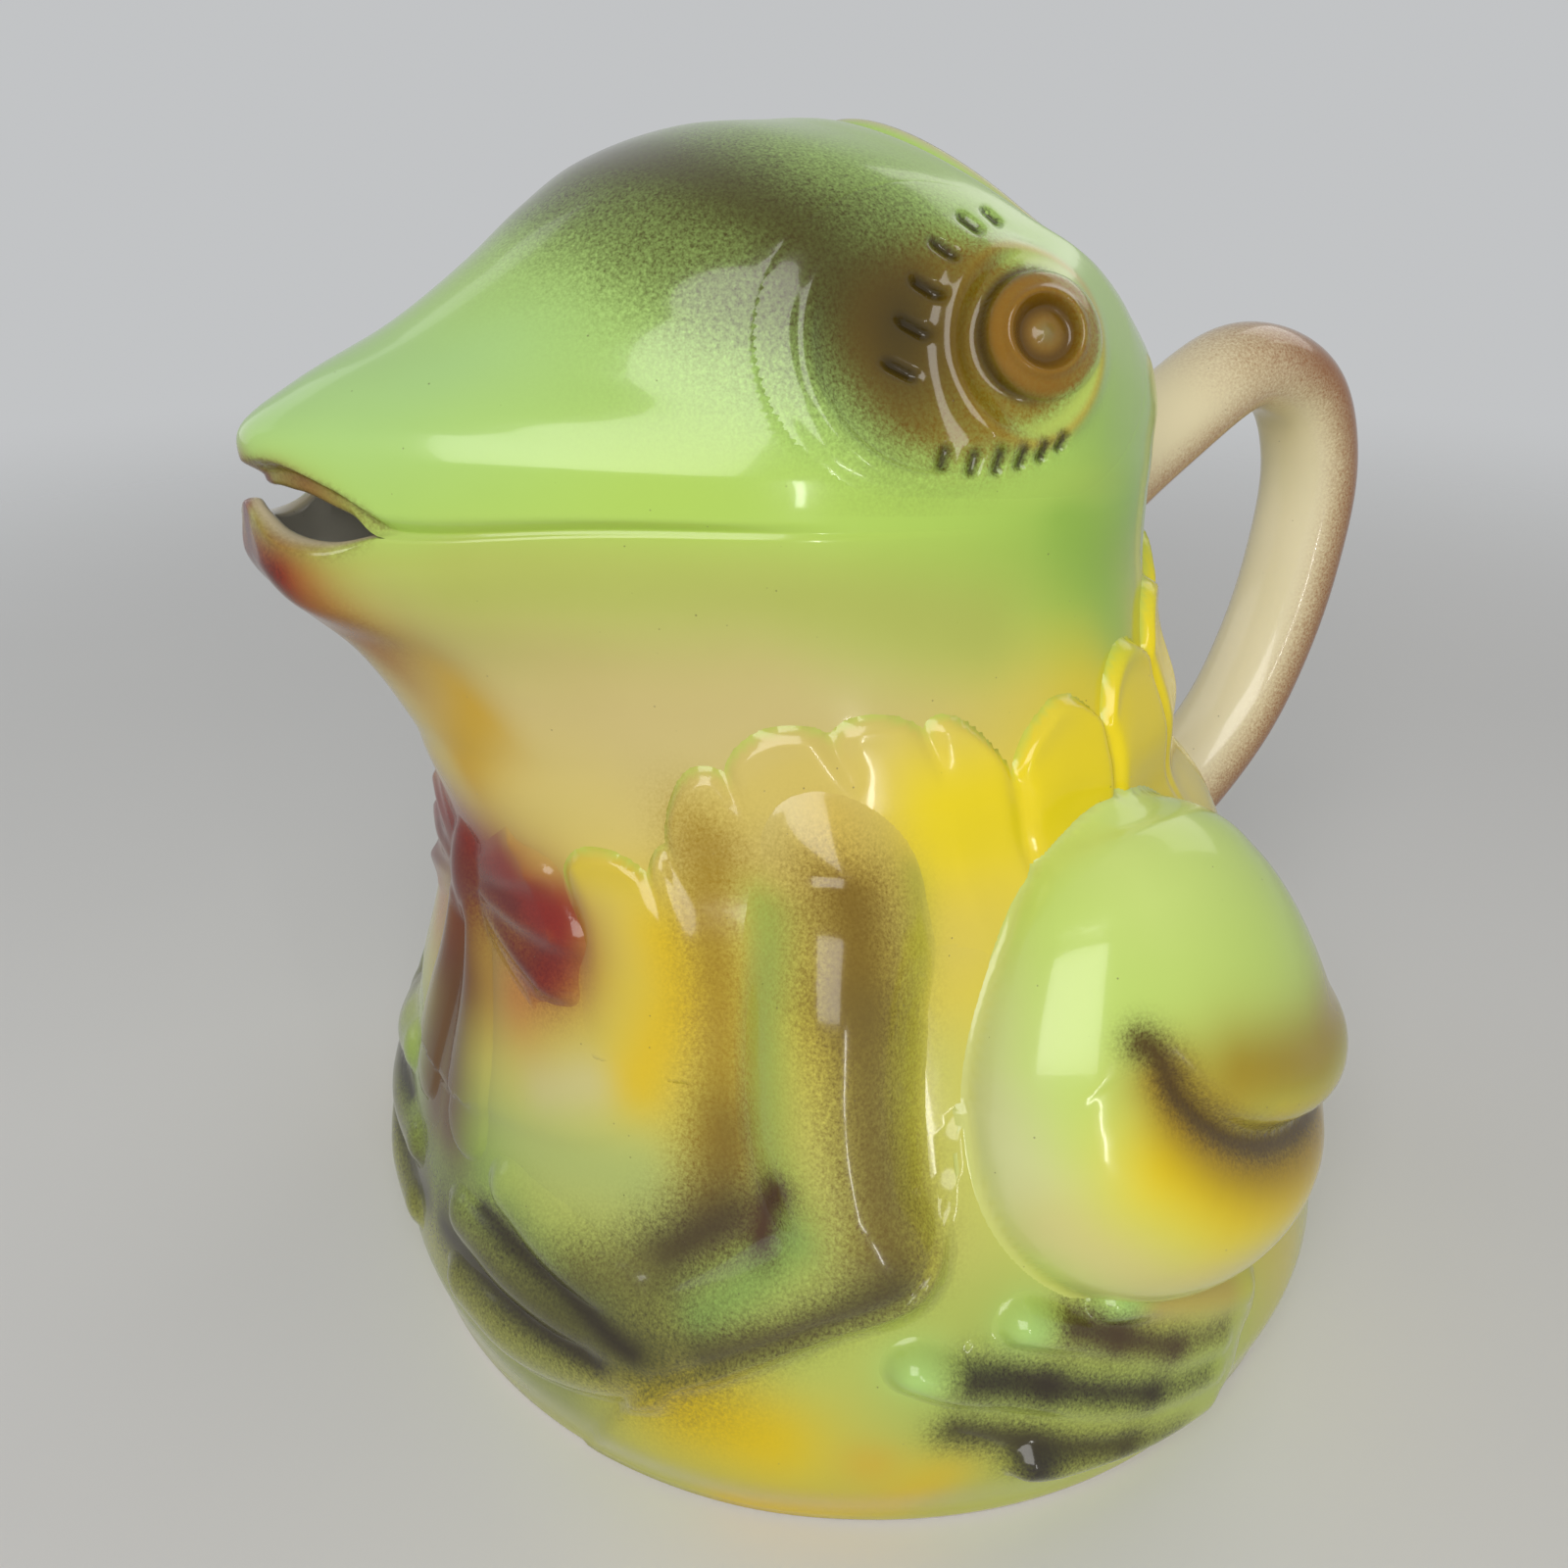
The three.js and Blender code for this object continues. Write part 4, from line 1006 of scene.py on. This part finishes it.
build_body(glaze("body_glaze"))
both("front_leg", relief(foreleg_field, limb_coats, ((2, 80), (12, 122)), .75, 4.0, on_collar), "foreleg",
     "foreleg_glaze", glaze("foreleg_glaze"))
both("webbed_foot", relief(foot_field, limb_coats, ((54, 110), (3, 50)), .6, 2.0, bare), "hind_foot",
     "foot_glaze", glaze("foot_glaze"))
both("thigh", relief(haunch_field, haunch_coats, ((64, 140), (26, 112)), .75, 2.6, on_collar), "haunch",
     "haunch_glaze", glaze("haunch_glaze", .9))
both("eye_and_lashes", eye_shape(), "eye", "eye_glaze", glaze("eye_glaze"))
collar = relief(collar_height, collar_coats, ((22, 338), (72, 142)), .8, .3, just_below, -.35)
piece("scalloped_collar", *collar, "petal_collar", "petal_glaze", glaze("petal_glaze"))
bow = relief(bow_field, bow_coats, ((-36, 36), (40, 116)), .6, 2.6, bare)
piece("red_bow", *bow, "chest_bow", "bow_glaze", glaze("bow_glaze"))
build_handle(glaze("handle_glaze"))


# Stage
def plain_floor():
    """Pale floor: a flat sheet under the pitcher that fades out with distance."""
    mesh = bpy.data.meshes.new("floor")
    mesh.from_pydata([(-3, -3, 0), (3, -3, 0), (3, 3, 0), (-3, 3, 0)], [], [(0, 1, 2, 3)])
    floor = bpy.data.objects.new("floor", mesh)
    bpy.context.scene.collection.objects.link(floor)
    material, v = blank_material("pale_floor")
    at = v.node("ShaderNodeTexCoord", {}, {}, "Object")
    cloud = v.node("ShaderNodeTexNoise", {}, {"Vector": at, "Scale": 6.0, "Detail": 3.0}, "Fac")
    colour = cloud.mix((.70, .70, .69, 1), (.74, .735, .72, 1))
    far = v.node("ShaderNodeVectorMath", {"operation": "LENGTH"}, {0: at}, "Value")
    show(v.node("ShaderNodeBsdfPrincipled", {},
                {"Base Color": colour, "Roughness": .8, "Alpha": 1.0 - far.step(.30, .95)}))
    floor.data.materials.append(material)


def lamp(name, place, aim, size, power, colour):
    """Rectangular studio lamp at a place, turned to face a point."""
    light = bpy.data.lights.new(name, "AREA")
    light.shape = "RECTANGLE"
    light.size, light.size_y = size
    light.energy = power
    light.color = colour
    made = bpy.data.objects.new(name, light)
    bpy.context.scene.collection.objects.link(made)
    away = Vector(place) - Vector(aim)
    made.matrix_world = Matrix.Translation(place) @ away.to_track_quat("Z", "Y").to_matrix().to_4x4()


def studio():
    """Soft studio light, and the camera 56 degrees round to the frog's left, looking 25 degrees down."""
    scene = bpy.context.scene
    world = bpy.data.worlds.new("studio")
    world.use_nodes = True
    tree = world.node_tree
    v = Value(tree, None)
    kinds = ("Is Camera Ray", "Is Glossy Ray", "Is Transmission Ray")
    rays = [v.node("ShaderNodeLightPath", {}, {}, kind) for kind in kinds]
    seen = (rays[0] + rays[1] + rays[2]).held()
    colour = seen.mix((.20, .205, .21, 1), (.54, .55, .56, 1))
    tree.links.new(colour.socket, tree.nodes["Background"].inputs["Color"])
    scene.world = world
    lamp("window", (.66, -.50, .66), (.03, -.04, .14), (.66, .66), 7.0, (1, .98, .96))
    lamp("strip", (.66, -.13, .12), (.05, -.03, .08), (.018, .20), .30, (1, .98, .96))
    lamp("fill", (-.75, -.55, .55), (0, 0, .1), (.8, .8), 1.5, (.95, .98, 1))
    lamp("back", (-.2, .9, .8), (0, 0, .1), (.8, .6), 1.8, (1, .98, .95))
    scene.view_settings.view_transform = "Standard"
    turn, pitch, yaw = np.radians(56), np.radians(25), np.radians(-2.9)
    inward = np.array([-np.sin(turn), np.cos(turn), 0])
    across = np.array([np.cos(turn), np.sin(turn), 0])
    ahead = inward * np.cos(yaw) + across * np.sin(yaw)
    right = across * np.cos(yaw) - inward * np.sin(yaw)
    forward = ahead * np.cos(pitch) - np.array([0, 0, np.sin(pitch)])
    up = np.array([0, 0, np.cos(pitch)]) + ahead * np.sin(pitch)
    camera = bpy.data.cameras.new("camera")
    camera.sensor_width, camera.lens = 36, 33.75
    camera.clip_start = .01
    made = bpy.data.objects.new("camera", camera)
    scene.collection.objects.link(made)
    stand = (.20205, -.13629, .20093)
    m = np.eye(4)
    m[:3, 0], m[:3, 1], m[:3, 2], m[:3, 3] = right, up, -forward, stand
    made.matrix_world = Matrix(m.tolist())
    scene.camera = made


plain_floor()
studio()
